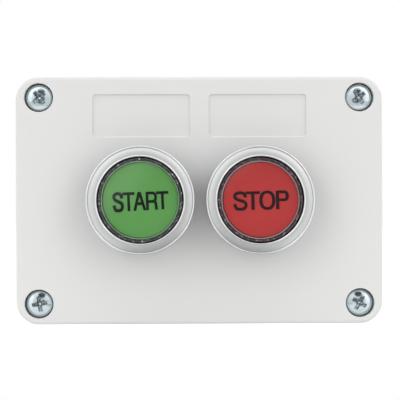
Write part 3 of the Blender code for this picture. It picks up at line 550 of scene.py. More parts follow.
class STATION_OT_dress_shell(bpy.types.Operator):
    """Build the moulded lid and base"""

    bl_idname = "station.dress_shell"
    bl_label = "Lid and base"

    groove_inside = 0.8 * MM
    groove_width = 1.4 * MM
    groove_depth = 2.4 * MM
    seat_gap = 0.3 * MM
    tongue_rise = 0.6 * MM
    well_floor_edge = 0.3 * MM
    label_corner = 0.9 * MM
    label_floor_edge = 0.12 * MM
    label_pitch = 33.0 * MM
    label_from_top = 11.0 * MM
    shank_hole = 2.2 * MM
    pad_radius = 5.2 * MM
    pad_height = 1.5 * MM
    fixing_pitch = 80.0 * MM
    fixing_radius = 2.3 * MM
    fixing_edge = 0.25 * MM
    knockout_radius = 10.2 * MM
    knockout_width = 0.8 * MM
    knockout_depth = 1.8 * MM
    knockout_edge = 0.12 * MM
    knockout_from_back = 22 * MM
    button_hole = 11.25 * MM
    notch_width = 3.6 * MM
    notch_top = 12.25 * MM

    def execute(self, context):
        shell = context.scene.station_shell
        plastic = moulded_material("moulded_shell", shell.colour, shell.shade, shell.roughness)
        self.build_lid(shell, context.scene.station_screws, plastic)
        self.build_base(shell, plastic)
        return {"FINISHED"}

    def seal_ring(self, shell, gap, low, high):
        """The seal's path round the chamber, narrowed by a gap on each side."""
        outside = chamber_outline(shell, self.groove_inside + self.groove_width - gap)
        return ring_prism(outside, chamber_outline(shell, self.groove_inside + gap), low, high)

    def build_lid(self, shell, screws, plastic):
        lid = object_from("lid_shell", shell_block(shell, RIM, 0, shell.face_fillet, shell.parting_edge))
        cuts = [prism(chamber_outline(shell), RIM - OVERCUT, -shell.wall),
                self.seal_ring(shell, 0.0, RIM - OVERCUT, RIM + self.groove_depth)]
        for name in SCREW_NAMES:
            centre = centre_of(f"lid_screw_{name}")
            cuts += [self.well(shell, screws, centre), rod(self.shank_hole, RIM - OVERCUT, OVERCUT, centre)]
        for button in BUTTONS:
            centre = centre_of(f"{button}_bezel")
            through = (-shell.wall - OVERCUT, OVERCUT)
            notch = [(x * self.notch_width / 2 + centre.x, y + centre.y)
                     for x, y in ((-1, 0), (1, 0), (1, self.notch_top), (-1, self.notch_top))]
            cuts += [rod(self.button_hole, *through, centre, 96), prism(notch, *through)]
        for side in (-1, 1):
            cuts.append(self.label(shell, (side * self.label_pitch / 2, HEIGHT / 2 - self.label_from_top)))
        combine(lid, cuts)
        finish_piece(lid, plastic, "enclosure", ["enclosure_lid"])

    def well(self, shell, screws, centre):
        """A screw's round well, with a rounded floor and mouth."""
        levels = pocket_levels(screws.well_depth, shell.pocket_edge, self.well_floor_edge)
        wall = [(screws.well_radius + growth, level) for level, growth in levels]
        return turned([(0, -screws.well_depth), *wall, (0, OVERCUT)], 64, at=centre)

    def label(self, shell, centre):
        """A shallow recess for a stick-on label."""
        rings = []
        for level, growth in pocket_levels(shell.label_depth, shell.pocket_edge, self.label_floor_edge):
            outline = rounded_rectangle(shell.label_width + 2 * growth, shell.label_height + 2 * growth,
                                        self.label_corner + growth, ROUND_STEPS)
            rings.append(lift(outline, level, centre))
        return loft(rings)

    def build_base(self, shell, plastic):
        block = shell_block(shell, BACK, BASE_RIM, shell.parting_edge, shell.back_fillet)
        base = object_from("base_shell", block)
        floor = BACK + shell.wall
        combine(base, [prism(chamber_outline(shell), floor, BASE_RIM + OVERCUT)])
        fixings = [(side * self.fixing_pitch / 2, 0) for side in (-1, 1)]
        pads = [rod(self.pad_radius, floor - OVERCUT, floor + self.pad_height, place) for place in fixings]
        tongue = self.seal_ring(shell, self.seat_gap, BASE_RIM - OVERCUT, RIM + self.tongue_rise)
        combine(base, [tongue, *pads], "UNION")
        cuts = []
        for name in SCREW_NAMES:
            screw = f"lid_screw_{name}"
            cuts.append(rod(self.shank_hole, node_box(screw)[0].z - self.seat_gap, BASE_RIM + OVERCUT,
                            centre_of(screw)))
        for side, place in zip((-1, 1), fixings):
            cuts += [self.fixing_hole(place, floor), self.knockout_groove(side)]
        combine(base, cuts)
        finish_piece(base, plastic, "enclosure", ["enclosure_base"])

    def fixing_hole(self, place, floor):
        """A wall screw's hole, with a small countersink on the outside."""
        radius, edge = self.fixing_radius, self.fixing_edge
        top = floor + self.pad_height + OVERCUT
        profile = [(0, BACK - OVERCUT), (radius + edge, BACK - OVERCUT), (radius + edge, BACK),
                   (radius, BACK + edge), (radius, top), (0, top)]
        return turned(profile, CUTTER_STEPS, at=place)

    def knockout_groove(self, side):
        """The ring of thin wall round a knockout, with rounded edges."""
        edge, depth, outer = self.knockout_edge, self.knockout_depth, self.knockout_radius
        inner = outer - self.knockout_width
        profile = [(inner - edge, OVERCUT), (inner - edge, 0), (inner, -edge), (inner, -depth),
                   (outer, -depth), (outer, -edge), (outer + edge, 0), (outer + edge, OVERCUT)]
        cutter = turned(profile, 96, closed=True)
        bmesh.ops.rotate(cutter, cent=(0, 0, 0), matrix=Matrix.Rotation(side * math.pi / 2, 3, "Y"),
                         verts=cutter.verts)
        bmesh.ops.translate(cutter, vec=(side * WIDTH / 2, 0, BACK + self.knockout_from_back),
                            verts=cutter.verts)
        return cutter


class STATION_OT_dress_screws(bpy.types.Operator):
    """Build the four lid screws"""

    bl_idname = "station.dress_screws"
    bl_label = "Lid screws"

    shank = 1.9 * MM
    seat_edge = 0.15 * MM
    dome_height = 0.56 * MM
    dome_steps = 18
    edge_rounding = 0.35 * MM
    edge_steps = 5
    recess_depth = 1.25 * MM
    recess_shoulder = 0.35 * MM
    recess_reach = 2.8 * MM
    floor_slope = 0.23
    mark_reach = 1.45 * MM
    mark_half_width = 0.09 * MM
    mark_depth = 0.32 * MM
    shift = 0.09 * MM

    def execute(self, context):
        screws = context.scene.station_screws
        zinc = metal_material("zinc_plate", screws.colour, (0.55, 0.65, 0.64), 0.12, pitch=0.12, fleck=1.8,
                              depth=0.004 * MM)
        # Dark, rough zinc for the recess walls and the head's side: painted shade.
        painted_shade_zinc = metal_material("zinc_recess", (0.05, 0.07, 0.08), (0.28, 0.33, 0.35), 0.30, pitch=0.2,
                              fleck=0.5, depth=0.02 * MM, crisp=True)
        for name, turn in zip(SCREW_NAMES, screws.turns):
            self.build_screw(name, math.radians(turn), screws, zinc, painted_shade_zinc)
        return {"FINISHED"}

    def build_screw(self, name, turn, screws, zinc, painted_shade_zinc):
        node = f"lid_screw_{name}"
        low, high = node_box(node)
        seat = high.z - screws.head_height
        edge = self.edge_rounding
        cap = screws.head_radius - edge
        ball = (cap**2 + self.dome_height**2) / (2 * self.dome_height)
        profile = [(0, high.z)]
        for i in range(1, self.dome_steps + 1):
            radius = cap * i / self.dome_steps
            profile.append((radius, high.z - ball + math.sqrt(ball**2 - radius**2)))
        first = math.asin(cap / ball)
        for i in range(1, self.edge_steps + 1):
            angle = first + (math.pi / 2 - first) * i / self.edge_steps
            profile.append((cap + edge * (math.sin(angle) - math.sin(first)) / (1 - math.sin(first)),
                            high.z - self.dome_height - edge * (math.cos(first) - math.cos(angle))))
        profile += [(screws.head_radius, seat + self.seat_edge), (screws.head_radius - self.seat_edge, seat),
                    (self.shank, seat), (self.shank, low.z + self.shank), (0, low.z)]
        screw = object_from(f"screw_{name}", turned(profile[::-1], 96))
        combine(screw, [self.recess(screws, high.z, turn), self.cross_marks(high.z, turn)])
        # Recess walls and the head's side take the dark zinc of painted shade.
        is_painted_shade = [self.is_painted_shade(polygon, high.z, ball) for polygon in screw.data.polygons]
        middle = centre_of(node)
        inwards = math.copysign(self.shift, -middle.x)
        finish_piece(screw, zinc, "enclosure", [node], at=(middle.x + inwards, middle.y))
        paint(screw, [painted_shade_zinc], is_painted_shade)

    def is_painted_shade(self, polygon, top, ball):
        """Whether a face is one of the recess's walls or lies below the head's edge, and so takes the dark
        zinc of painted shade.
        """
        x, y, level = polygon.center
        radius = math.hypot(x, y)
        if radius > self.recess_reach or level < top - 2 * MM:
            return level < top - self.dome_height - self.edge_rounding
        surface = top - ball + math.sqrt(ball**2 - radius**2)
        return level < surface - 0.05 * MM and abs(polygon.normal.z) < 0.96

    def cross_marks(self, top, turn):
        """The thin notches between the wings."""
        rings = []
        for share, level in ((0.8, top - self.mark_depth), (1.0, top + OVERCUT)):
            long, half = self.mark_reach * share, self.mark_half_width * share
            cross = cross_outline([(long, -half), (long, half), (half, half)])
            rings.append(lift(turn_points(cross, turn + math.pi / 4), level))
        return loft(rings)

    def recess(self, screws, top, turn):
        """A cross recess whose wings taper towards a small slanted floor."""
        rings = []
        for share, level, slope in ((0.12, top - self.recess_depth, self.floor_slope),
                                    (1.0, top - self.recess_shoulder, 0), (1.1, top + OVERCUT, 0)):
            long = screws.wing_length * share
            half = screws.wing_width / 2 * (0.55 + 0.45 * share)
            corner = half * 1.25
            cross = cross_outline([(long, -half), (long, half), (corner, half), (half, corner)])
            rings.append([(*place, level + slope * x)
                          for place, (x, _) in zip(turn_points(cross, turn), cross)])
        return loft(rings)


class STATION_OT_dress_bezels(bpy.types.Operator):
    """Build the satin silver rings round the buttons"""

    bl_idname = "station.dress_bezels"
    bl_label = "Bezels"

    clearance = 0.3 * MM
    skirt_wall = 1.2 * MM
    bead = 0.19 * MM
    bead_gap = 0.02 * MM
    face_inset = 0.13 * MM
    lip_width = 0.5 * MM
    lip_rise = 0.04 * MM
    groove_width = 0.16 * MM
    groove_depth = 0.18 * MM
    first_slope = math.radians(2)
    last_slope = math.radians(24)
    draft = 0.2 * MM
    face_steps = 12
    steps_round = 160

    def execute(self, context):
        silver = context.scene.station_buttons.silver
        finishes = [
            metal_material("satin_silver", silver, shade_of(silver, 0.9), 0.42, fleck=0.5, depth=0.004 * MM),
            # The bead and lip take a polished finish whose lighter colour is a painted highlight.
            metal_material("bright_edge", (0.88, 0.89, 0.90), (0.80, 0.81, 0.82), 0.22, fleck=0.5),
            # The skirt takes a darker copy of the silver: painted shade that deepens the gap between the two
            # rings.
            metal_material("silver_skirt", (0.37, 0.38, 0.39), (0.32, 0.33, 0.34), 0.35, fleck=0.5),
        ]
        for button in BUTTONS:
            self.build_bezel(button, finishes)
        return {"FINISHED"}

    def build_bezel(self, button, finishes):
        """A ring with a fine bead round its bore, a face that falls outwards, a groove and a rounded lip."""
        node = f"{button}_bezel"
        low, high = node_box(node)
        centre = centre_of(node)
        outside = high.x - centre.x
        bore = node_box(f"{button}_lens")[1].x - centre.x + self.clearance
        ledge = node_box(f"{button}_barrel")[1].z + self.clearance
        crest = bore + 2 * self.bead + self.bead_gap
        lip = outside - self.lip_width
        face_end = lip - self.groove_width
        step = (face_end - crest) / self.face_steps
        level = high.z - self.face_inset
        profile = arc((bore + self.bead, high.z - self.bead), self.bead, 180, 25, 9)
        profile.append((crest, level))
        for i in range(self.face_steps):
            slope = self.first_slope + (self.last_slope - self.first_slope) * (i + 0.5) / self.face_steps
            level -= step * math.tan(slope)
            profile.append((crest + step * (i + 1), level))
        profile += [(face_end + self.groove_width * share, level - self.groove_depth) for share in (0.2, 0.8)]
        rounding = self.lip_width / 2
        side = level + self.lip_rise - rounding
        inside = outside - self.skirt_wall
        profile += arc((lip + rounding, side), rounding, 155, 0, 10)
        profile += [(outside - self.draft, low.z), (inside, low.z), (inside, ledge), (bore, ledge)]
        ring = object_from(f"{button}_bezel_ring", turned(profile, self.steps_round, closed=True))
        indices = []
        for polygon in ring.data.polygons:
            x, y, z = polygon.center
            is_edge = not crest <= math.hypot(x, y) <= lip
            # Low skirt faces take the painted-shade silver; the bead and lip take the polished edge with its
            # painted highlight.
            indices.append(2 if z < side - 0.1 * MM else 1 if is_edge else 0)
        finish_piece(ring, finishes[0], "enclosure", [node], at=centre)
        paint(ring, finishes[1:], indices)


class STATION_OT_dress_caps(bpy.types.Operator):
    """Build the clear lenses, the coloured discs and their printed words"""

    bl_idname = "station.dress_caps"
    bl_label = "Button caps"

    rim_width = 0.74 * MM
    # The rim's distance from the flat and its drop from the flat's edge, in millimetres.
    rim_shape = ((0.04, 0.03), (0.09, 0.14), (0.16, 0.34), (0.27, 0.42), (0.38, 0.40), (0.47, 0.33),
                 (0.54, 0.29), (0.62, 0.29), (0.70, 0.36), (0.74, 0.56))
    crown = 0.2 * MM
    crown_steps = 10
    gap = 0.3 * MM
    disc_inset = 0.19 * MM
    disc_edge = 0.08 * MM
    disc_rim = (10.61 * MM, 10.91 * MM)
    disc_rim_edge = 0.06 * MM
    disc_shift = 0.09 * MM

    def execute(self, context):
        buttons = context.scene.station_buttons
        clear = lens_material()
        rims = {
            # Each rim's second colour is its painted glint.
            "start": rim_material("start_rim", (0.058, 0.079, 0.069), (0.80, 0.72, 0.70), 0.42),
            "stop": rim_material("stop_rim", (0.072, 0.050, 0.057), (0.62, 0.50, 0.51), 0.37),
        }
        looks = (("start", "green_disc", buttons.green, (0.38, 0.56, 0.38)),
                 ("stop", "red_disc", buttons.red, (0.62, 0.44, 0.45)))
        for button, slot, colour, pale in looks:
            tone = moulded_material(f"{button}_disc", colour, shade_of(colour, 0.9), 0.5, grain=0.35,
                                    drift=8.0, depth=0.002 * MM, gloss=0.25)
            pale_ring = moulded_material(f"{button}_insert", pale, shade_of(pale, 0.8), 0.3, grain=0.3,
                                      drift=3.0)
            dark = getattr(buttons, f"{button}_ink")
            ink = moulded_material(f"{button}_ink", dark, shade_of(dark, 1.6), 0.6, grain=0.3,
                                   depth=0.001 * MM, gloss=0.15)
            self.build_lens(button, clear, rims[button])
            self.build_disc(button, tone, slot)
            self.build_disc_rim(button, pale_ring, slot)
            self.build_word(button, buttons, ink, slot)
        return {"FINISHED"}

    def build_lens(self, button, clear, dark):
        """A clear cup with a slight crown. Its edge falls to a groove with a fine ridge outside it."""
        node = f"{button}_lens"
        low, high = node_box(node)
        centre = centre_of(node)
        radius = high.x - centre.x
        disc = node_box(f"{button}_legend_disc")[1]
        skirt_bore = disc.x - centre.x + self.gap
        inside = disc.z + self.gap
        flat = radius - self.rim_width
        edge = high.z - self.crown
        shares = [i / self.crown_steps for i in range(self.crown_steps + 1)]
        profile = [(flat * share, high.z - self.crown * share**2) for share in shares]
        profile += [(flat + x * MM, edge - drop * MM) for x, drop in self.rim_shape]
        profile += [(radius, low.z), (skirt_bore, low.z), (skirt_bore, inside), (0, inside)]
        lens = object_from(f"{button}_cap_lens", turned(profile))
        in_rim = [math.hypot(polygon.center.x, polygon.center.y) > flat for polygon in lens.data.polygons]
        finish_piece(lens, clear, f"{button}_button", [node], at=centre)
        paint(lens, [dark], in_rim)

    def build_disc(self, button, tone, slot):
        node = f"{button}_legend_disc"
        low, high = node_box(node)
        centre = centre_of(node)
        radius = high.x - centre.x - self.disc_inset
        edge = self.disc_edge
        profile = [(0, low.z), (radius, low.z), (radius, high.z - edge), (radius - edge, high.z), (0, high.z)]
        disc = object_from(f"{button}_colour_disc", turned(profile))
        finish_piece(disc, tone, f"{button}_button", [node], at=(centre.x + self.disc_shift, centre.y))

    def build_disc_rim(self, button, pale, slot):
        """A thin pale ring round the disc, in a paler tint of the disc's colour."""
        low, high = node_box(f"{button}_legend_disc")
        inside, outside = self.disc_rim
        edge = self.disc_rim_edge
        profile = [(outside, low.z), (outside, high.z - edge), (outside - edge, high.z),
                   (inside + edge, high.z), (inside, high.z - edge), (inside, low.z)]
        rim = object_from(f"{button}_disc_rim", turned(profile, closed=True))
        finish_piece(rim, pale, f"{button}_button", at=(low + high) / 2)

    def build_word(self, button, buttons, ink, slot):
        """The word that says what the button does, in plain capitals, turned as the disc lies."""
        disc = node_box(f"{button}_legend_disc")[1]
        letters = LetterSet(*getattr(buttons, f"{button}_strokes"))
        turn = Matrix.Rotation(getattr(buttons, f"{button}_tilt"), 2)
        shape = bmesh.new()
        for letter in letters.word(WORDS[button]):
            self.add_letter(shape, [[turn @ Vector(point) for point in outline] for outline in letter])
        bmesh.ops.remove_doubles(shape, verts=shape.verts, dist=0.0005 * MM)
        offset = getattr(buttons, f"{button}_offset")
        lift_up = disc.z + INK_LIFT + INK_THICKNESS / 2
        bmesh.ops.translate(shape, vec=(offset[0], offset[1], lift_up), verts=shape.verts)
        printed = object_from(f"{button}_word", shape)
        finish_piece(printed, ink, f"{button}_button", at=centre_of(f"{button}_legend_disc"))

    def add_letter(self, shape, outlines):
        """Fills a letter's outlines and adds them to the word."""
        curve = bpy.data.curves.new("letter", "CURVE")
        curve.dimensions = "2D"
        curve.fill_mode = "BOTH"
        curve.extrude = INK_THICKNESS / 2
        for outline in outlines:
            spline = curve.splines.new("POLY")
            spline.points.add(len(outline) - 1)
            spline.use_cyclic_u = True
            for point, place in zip(spline.points, outline):
                point.co = (*place, 0, 1)
        drawn = bpy.data.objects.new("letter_outline", curve)
        bpy.context.scene.collection.objects.link(drawn)
        mesh = applied_mesh(drawn)
        bpy.data.objects.remove(drawn, do_unlink=True)
        shape.from_mesh(mesh)
        bpy.data.meshes.remove(mesh)


class LetterSet:
    """Plain capitals drawn as closed outlines. Each letter fills a box of a given width."""

    height = 5.2 * MM
    curve_steps = 14
    smooth_steps = 5

    def __init__(self, stem, bar):
        self.stem = stem
        self.bar = bar

    def word(self, places):
        """Outlines of each letter of a word."""
        middle = places[-1][2] / 2
        letters = []
        for letter, left, right, tall in places:
            stretch = tall * MM / self.height
            letters.append([
                [(x + (left - middle) * MM, (y - self.height / 2) * stretch) for x, y in outline]
                for outline in getattr(self, f"letter_{letter}")((right - left) * MM)
            ])
        return letters

    def letter_t(self, width):
        h, low = self.height, self.height - self.bar
        left, right = (width - self.stem) / 2, (width + self.stem) / 2
        return [[(0, h), (0, low), (left, low), (left, 0), (right, 0), (right, low), (width, low),
                 (width, h)]]

    def letter_a(self, width):
        h, s = self.height, self.stem
        middle = width / 2
        apex = s * 0.56
        slope = (middle - apex) / h
        foot = s * 1.04
        bar_low = 0.295 * h
        bar_high = bar_low + self.bar * 1.02
        inner_low, inner_high = foot + slope * bar_low, foot + slope * bar_high
        outside = [(0, 0), (middle - apex, h), (middle + apex, h), (width, 0), (width - foot, 0),
                   (width - inner_low, bar_low), (inner_low, bar_low), (foot, 0)]
        inside = [(inner_high, bar_high), (width - inner_high, bar_high), (middle, (middle - foot) / slope)]
        return [outside, inside]

    def bowl(self, right, low, foot, first=-90):
        """The stem and bowl of a P or an R as one outline, with the counter inside."""
        h, s, b = self.height, self.stem, self.bar
        corner = 0.42 * (h - low)
        inner = corner - (s + b) / 2
        outside = [(0, h), (0, 0), (s, 0), (s, low), *foot,
                   *arc((right - corner, low + corner), corner, first, 0, self.curve_steps),
                   *arc((right - corner, h - corner), corner, 0, 90, self.curve_steps)]
        inside = [(s, low + b), (s, h - b),
                  *arc((right - s - inner, h - b - inner), inner, 90, 0, self.curve_steps),
                  *arc((right - s - inner, low + b + inner), inner, 0, -90, self.curve_steps)]
        return [outside, inside]

    def letter_p(self, width):
        return self.bowl(width, 0.425 * self.height, [])

    def letter_r(self, width):
        """An R whose leg drops almost straight from the bowl."""
        s = self.stem
        low = 0.385 * self.height
        leg = width - s * 1.02
        foot = [(leg - s * 0.75, low), (leg - s * 0.40, low - s * 0.12), (leg - s * 0.18, low - s * 0.5),
                (leg, 0), (width, 0), (width - s * 0.18, low - s * 0.4), (width - s * 0.30, low + s * 0.1)]
        return self.bowl(width * 0.955, low, foot, first=-35)

    def letter_o(self, width):
        """An O that is a little squarer than an oval."""
        half_x, half_y = width / 2, self.height / 2
        tall = half_y * 1.02
        rings = []
        for radius_x, radius_y in ((half_x, tall), (half_x - self.stem, tall - self.bar)):
            ring = []
            for x, y in arc((0, 0), 1, 0, 360, self.curve_steps * 3)[:-1]:
                square = 1.06 - 0.06 * abs(abs(x) - abs(y))
                ring.append((half_x + radius_x * x * square, half_y + radius_y * y * square))
            rings.append(ring)
        return rings

    def letter_s(self, width):
        """One swung stroke, smoothed through a few points of its middle line."""
        h, s, b = self.height, self.stem, self.bar
        left, right = s / 2, width - s / 2
        top, low = h * 1.01 - b / 2, -h * 0.01 + b / 2
        middle = width / 2
        through = [(right - 0.02 * width, 0.675 * h), (right - 0.11 * width, 0.86 * h), (middle, top),
                   (left + 0.09 * width, 0.88 * h), (left, 0.745 * h), (left + 0.12 * width, 0.605 * h),
                   (middle, 0.525 * h), (right - 0.08 * width, 0.425 * h), (right, 0.275 * h),
                   (right - 0.11 * width, 0.105 * h), (middle - 0.01 * width, low),
                   (left + 0.10 * width, 0.115 * h), (left - 0.01 * width, 0.345 * h)]
        points = smooth_line(through, self.smooth_steps)
        before = points[:1] + points[:-1]
        after = points[1:] + points[-1:]
        one_side, other_side = [], []
        for i, point in enumerate(points):
            along = (Vector(after[i]) - Vector(before[i])).normalized()
            wide = min(s * abs(along.y) + b * abs(along.x), b * 1.12)
            across = Vector((-along.y, along.x)) * wide / 2
            one_side.append(tuple(Vector(point) + across))
            other_side.append(tuple(Vector(point) - across))
        return [one_side + other_side[::-1]]


def smooth_line(points, steps):
    """A smooth line through points, as a Catmull-Rom spline."""
    ends = [points[0], *points, points[-1]]
    line = []
    for i in range(len(points) - 1):
        p0, p1, p2, p3 = (Vector(ends[i + k]) for k in range(4))
        for j in range(steps):
            t = j / steps
            place = 0.5 * (2 * p1 + (p2 - p0) * t + (2 * p0 - 5 * p1 + 4 * p2 - p3) * t**2
                           + (3 * p1 - p0 - 3 * p2 + p3) * t**3)
            line.append(tuple(place))
    line.append(tuple(points[-1]))
    return line


def coil(radius, wire, turns, low, high, steps=28, sides=10):
    """A round wire wound between two levels, with a rounded end on each side."""
    circle = arc((0, 0), wire, 0, 360, sides)[:-1]
    count = turns * steps
    rise = high - low - 2 * wire
    # Rings as (thickness, distance ahead): a thin one closes each end of the wire.
    ends = {0: ((0.5, -0.8), (1.0, 0.0)), count: ((1.0, 0.0), (0.5, 0.8))}
    rings = []
    for i in range(count + 1):
        angle = 2 * math.pi * i / steps
        out = Vector((math.cos(angle), math.sin(angle), 0))
        along = Vector((-radius * out.y, radius * out.x, rise / turns / (2 * math.pi))).normalized()
        up = along.cross(out)
        middle = out * radius + Vector((0, 0, low + wire + rise * i / count))
        for thickness, ahead in ends.get(i, ((1.0, 0.0),)):
            centre = middle + along * wire * ahead
            rings.append([tuple(centre + (out * x + up * y) * thickness) for x, y in circle])
    return loft(rings)


class STATION_OT_wind_springs(bpy.types.Operator):
    """Wind the return springs and the contact springs"""

    bl_idname = "station.wind_springs"
    bl_label = "Springs"

    travel = 4.0 * MM

    def execute(self, context):
        wire = metal_material("spring_wire", (0.52, 0.52, 0.53), (0.42, 0.42, 0.43), 0.28, fleck=0.2)
        for button in BUTTONS:
            self.wind(button, "return_spring", 0.45 * MM, 4, f"{button}_press", wire)
            self.wind(button, "contact_spring", 0.20 * MM, 3, f"{button}_contact_travel", wire)
        return {"FINISHED"}

    def wind(self, button, kind, wire, turns, joint, finish):
        """A wound spring that takes the place of its part."""
        node = f"{button}_{kind}"
        low, high = node_box(node)
        centre = centre_of(f"{button}_bezel")
        radius = high.x - centre.x - wire
        spring = object_from(f"{node}_coil", coil(radius, wire, turns, low.z, high.z))
        finish_piece(spring, finish, "enclosure", [node], at=centre)
        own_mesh(spring)


class STATION_OT_finish_inner(bpy.types.Operator):
    """Give the pieces inside the box their finishes"""

    bl_idname = "station.finish_inner"
    bl_label = "Inner pieces"

    def execute(self, context):
        black = moulded_material("moulded_black", (0.017, 0.017, 0.021), (0.023, 0.023, 0.027), 0.70,
                                 grain=0.15, drift=6.0)
        rubber = moulded_material("moulded_rubber", (0.046, 0.046, 0.050), (0.056, 0.056, 0.060), 0.85,
                                  grain=0.1, drift=4.0, depth=0.01 * MM)
        brass = metal_material("drawn_brass", (0.64, 0.45, 0.18), (0.56, 0.39, 0.142), 0.30)
        zinc = metal_material("terminal_zinc", (0.78, 0.80, 0.80), (0.66, 0.70, 0.70), 0.24)
        green = moulded_material("start_plunger", (0.055, 0.265, 0.083), (0.047, 0.237, 0.073), 0.70)
        red = moulded_material("stop_plunger", (0.42, 0.042, 0.042), (0.38, 0.036, 0.036), 0.70)
        finishes = (
            (black, ("barrel", "lock_nut", "button_carrier", "contact_holder", "contact_block",
                     "contact_cover")),
            (rubber, ("panel_seal",)),
            (brass, ("contact_bridge", "terminal_upper", "terminal_lower")),
            (zinc, ("terminal_screw_upper", "terminal_screw_lower")),
        )
        self.give("lid_gasket", rubber)
        for button, plunger in zip(BUTTONS, (green, red)):
            self.give(f"{button}_contact_plunger", plunger)
            for finish, parts in finishes:
                for part in parts:
                    self.give(f"{button}_{part}", finish)
        return {"FINISHED"}

    def give(self, node, material):
        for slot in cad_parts[node].material_slots:
            slot.material = material


class STATION_OT_build_stage(bpy.types.Operator):
    """Place the camera, the lamps, the floor and the white surroundings"""

    bl_idname = "station.build_stage"
    bl_label = "Stage"

    sensor_width = 36
    centre_seen = (199.65, 200.25)
    lamp_target = Vector((0, -0.03, 0))
    floor_reach = 3.0
    floor_front = -0.20
    floor_white = 0.84
    floor_shade = 0.45
    floor_glow = 0.45
    floor_lift = 0.52
    mirror_glow = 0.2
    wedge_spread = 3.0
    studio_seen = 0.85
    ceiling_seen = 1.12
    # Middle, reach to each side and softness, as shares of the distance in front of the object.
    camera_patch = ((0.0, 0.0), (0.24, 0.27), 0.25)
    stand_patch = ((0.05, 0.48), (0.225, 0.205), 0.17)

    def execute(self, context):
        stage = context.scene.station_stage
        context.scene.view_settings.view_transform = "Standard"
        self.place_camera(context, stage)
        for name, side in (("Left lamp", -1), ("Right lamp", 1)):
            self.lamp(name, (side * 0.50, -0.66, 0.26), (0.34, 0.72), stage.side_power)
        self.lamp("Top lamp", (0.0, -0.66, 0.52), (1.50, 0.30), stage.top_power)
        self.build_floor()
        self.build_world(context, stage)
        return {"FINISHED"}

    def place_camera(self, context, stage):
        data = bpy.data.cameras.new("Camera")
        data.sensor_width = self.sensor_width
        data.lens = data.sensor_width * stage.distance / stage.seen_width
        camera = bpy.data.objects.new("Camera", data)
        pixel = stage.seen_width / IMAGE_SIZE
        seen_x, seen_y = self.centre_seen
        aim = Vector(((IMAGE_SIZE / 2 - seen_x) * pixel, LID_FACE, (seen_y - IMAGE_SIZE / 2) * pixel))
        stand = aim + Vector((stage.camera_offset[0], -stage.distance, stage.camera_offset[1]))
        look = (aim - stand).to_track_quat("-Z", "Y").to_matrix().to_4x4()
        camera.matrix_world = Matrix.Translation(stand) @ look @ Matrix.Rotation(stage.roll, 4, "Z")
        context.scene.collection.objects.link(camera)
        context.scene.camera = camera

    def lamp(self, name, place, size, power):
        data = bpy.data.lights.new(name, "AREA")
        data.shape = "RECTANGLE"
        data.size, data.size_y = size
        data.energy = power
        lamp = bpy.data.objects.new(name, data)
        lamp.location = place
        lamp.rotation_euler = (self.lamp_target - Vector(place)).to_track_quat("-Z", "Y").to_euler()
        bpy.context.scene.collection.objects.link(lamp)

    def build_floor(self):
        """A floor that the camera sees as white, with a shadow. Mirrors see it shaded near the object."""
        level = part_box("enclosure_base")[0][2]
        reach = self.floor_reach
        shape = bmesh.new()
        corners = ((-reach, self.floor_front), (reach, self.floor_front), (reach, reach), (-reach, reach))
        shape.faces.new([shape.verts.new((x, y, level)) for x, y in corners])
        floor = object_from("floor", shape)
        material, net, shader = start_material("white_floor", {"Roughness": 0.9})
        rays = net.rays()
        x, y, z = net.split(net.place())
        clear = net.most(net.fade(net.size(x), 0.020, 0.038), net.inverse(net.fade(y, -0.16, -0.13)))
        mirrored, scattered = rays["Is Glossy Ray"], rays["Is Diffuse Ray"]
        shaded = net.most(net.multiply(mirrored, net.inverse(clear)), scattered)
        colour = net.drift(shaded, (self.floor_white,) * 3, (self.floor_shade,) * 3)
        net.fill(shader, {"Base Color": colour})
        strength = net.multiply(rays["Is Camera Ray"], self.floor_glow)
        strength = net.add(strength, net.multiply(scattered, self.floor_lift))
        strength = net.add(strength, net.multiply(net.multiply(mirrored, clear), self.mirror_glow))
        glow = net.node("Emission", {"Strength": strength})
        net.show(net.node("AddShader", {0: shader.outputs[0], 1: glow.outputs[0]}))
        floor.data.materials.append(material)

    def build_world(self, context, stage):
        """White to the camera, soft light on the object, and a studio with a dark camera in its mirrors."""
        world = bpy.data.worlds.new("White studio")
        world.use_nodes = True
        net = Net(world.node_tree)
        rays = net.rays()
        mirrored = net.most(rays["Is Glossy Ray"], rays["Is Transmission Ray"])
        x, y, z = net.split(net.place("Generated"))
        ahead = net.most(net.multiply(y, -1.0), 0.02)
        across, height = net.divide(x, ahead), net.divide(z, ahead)
        behind = net.fade(y, -0.45, 0.15)
        above = net.blend(z, stage.sky, stage.sky * (1.0 + stage.overhead))
        even = net.blend(behind, above, stage.sky * stage.back)
        lit = net.blend(self.wedge(net, across, height), even, stage.front)
        camera = self.patch(net, (across, height), *self.camera_patch)
        stand = self.patch(net, (across, height), *self.stand_patch)
        paler = net.fade(net.subtract(height, across), 0.03, 0.11)
        dark = net.blend(paler, stage.front_seen, 0.9)
        wall = net.blend(net.fade(height, 0.0, 0.4), self.studio_seen, self.ceiling_seen)
        open_studio = net.blend(behind, wall, 1.0)
        seen = net.blend(stand, net.blend(camera, open_studio, dark), stage.front_seen)
        strength = net.most(rays["Is Camera Ray"], net.blend(mirrored, lit, seen))
        net.fill(net.tree.nodes["Background"], {"Color": (1, 1, 1, 1), "Strength": strength})
        context.scene.world = world

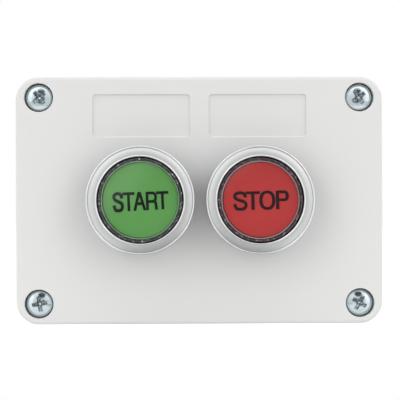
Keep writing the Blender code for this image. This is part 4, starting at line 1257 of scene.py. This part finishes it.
    def wedge(self, net, across, height):
        """1 in a band of the studio in front of the object that widens upwards and downwards."""
        off = net.size(height)
        spread = net.add(net.multiply(off, self.wedge_spread), 1.0)
        inside = net.inverse(net.fade(net.size(net.divide(across, spread)), 0.12, 0.26))
        return net.multiply(inside, net.inverse(net.fade(off, 1.2, 2.4)))

    def patch(self, net, place, middle, half, soft):
        """1 in an oval of the studio in front of the object, with a soft edge, and 0 elsewhere."""
        shares = [net.divide(net.subtract(value, centre), reach)
                  for value, centre, reach in zip(place, middle, half)]
        off = net.maths("SQRT", net.add(*[net.multiply(share, share) for share in shares]))
        return net.inverse(net.fade(off, 1.0 - soft, 1.0 + soft))


class STATION_PT_panel(bpy.types.Panel):
    """Sidebar panel that lists the steps"""

    bl_idname = "STATION_PT_panel"
    bl_label = "Control station"
    bl_space_type = "VIEW_3D"
    bl_region_type = "UI"
    bl_category = "Control station"

    def draw(self, context):
        for step in STEPS:
            self.layout.operator(step.bl_idname)
        for name in SETTINGS:
            box = self.layout.box()
            settings = getattr(context.scene, name)
            for label in settings.bl_rna.properties.keys():
                if label not in ("rna_type", "name"):
                    box.prop(settings, label)


STEPS = (
    STATION_OT_dress_shell, STATION_OT_dress_screws, STATION_OT_dress_bezels, STATION_OT_dress_caps,
    STATION_OT_wind_springs, STATION_OT_finish_inner, STATION_OT_build_stage,
)
SETTINGS = {
    "station_shell": ShellSettings, "station_screws": ScrewSettings, "station_buttons": ButtonSettings,
    "station_stage": StageSettings,
}


def register():
    for name, settings in SETTINGS.items():
        bpy.utils.register_class(settings)
        setattr(bpy.types.Scene, name, bpy.props.PointerProperty(type=settings))
    for step in STEPS:
        bpy.utils.register_class(step)
    bpy.utils.register_class(STATION_PT_panel)


def unregister():
    bpy.utils.unregister_class(STATION_PT_panel)
    for step in reversed(STEPS):
        bpy.utils.unregister_class(step)
    for name, settings in SETTINGS.items():
        delattr(bpy.types.Scene, name)
        bpy.utils.unregister_class(settings)


def main():
    register()
    bpy.ops.station.dress_shell()
    bpy.ops.station.dress_screws()
    bpy.ops.station.dress_bezels()
    bpy.ops.station.dress_caps()
    bpy.ops.station.wind_springs()
    bpy.ops.station.finish_inner()
    bpy.ops.station.build_stage()


if __name__ == "__main__":
    main()
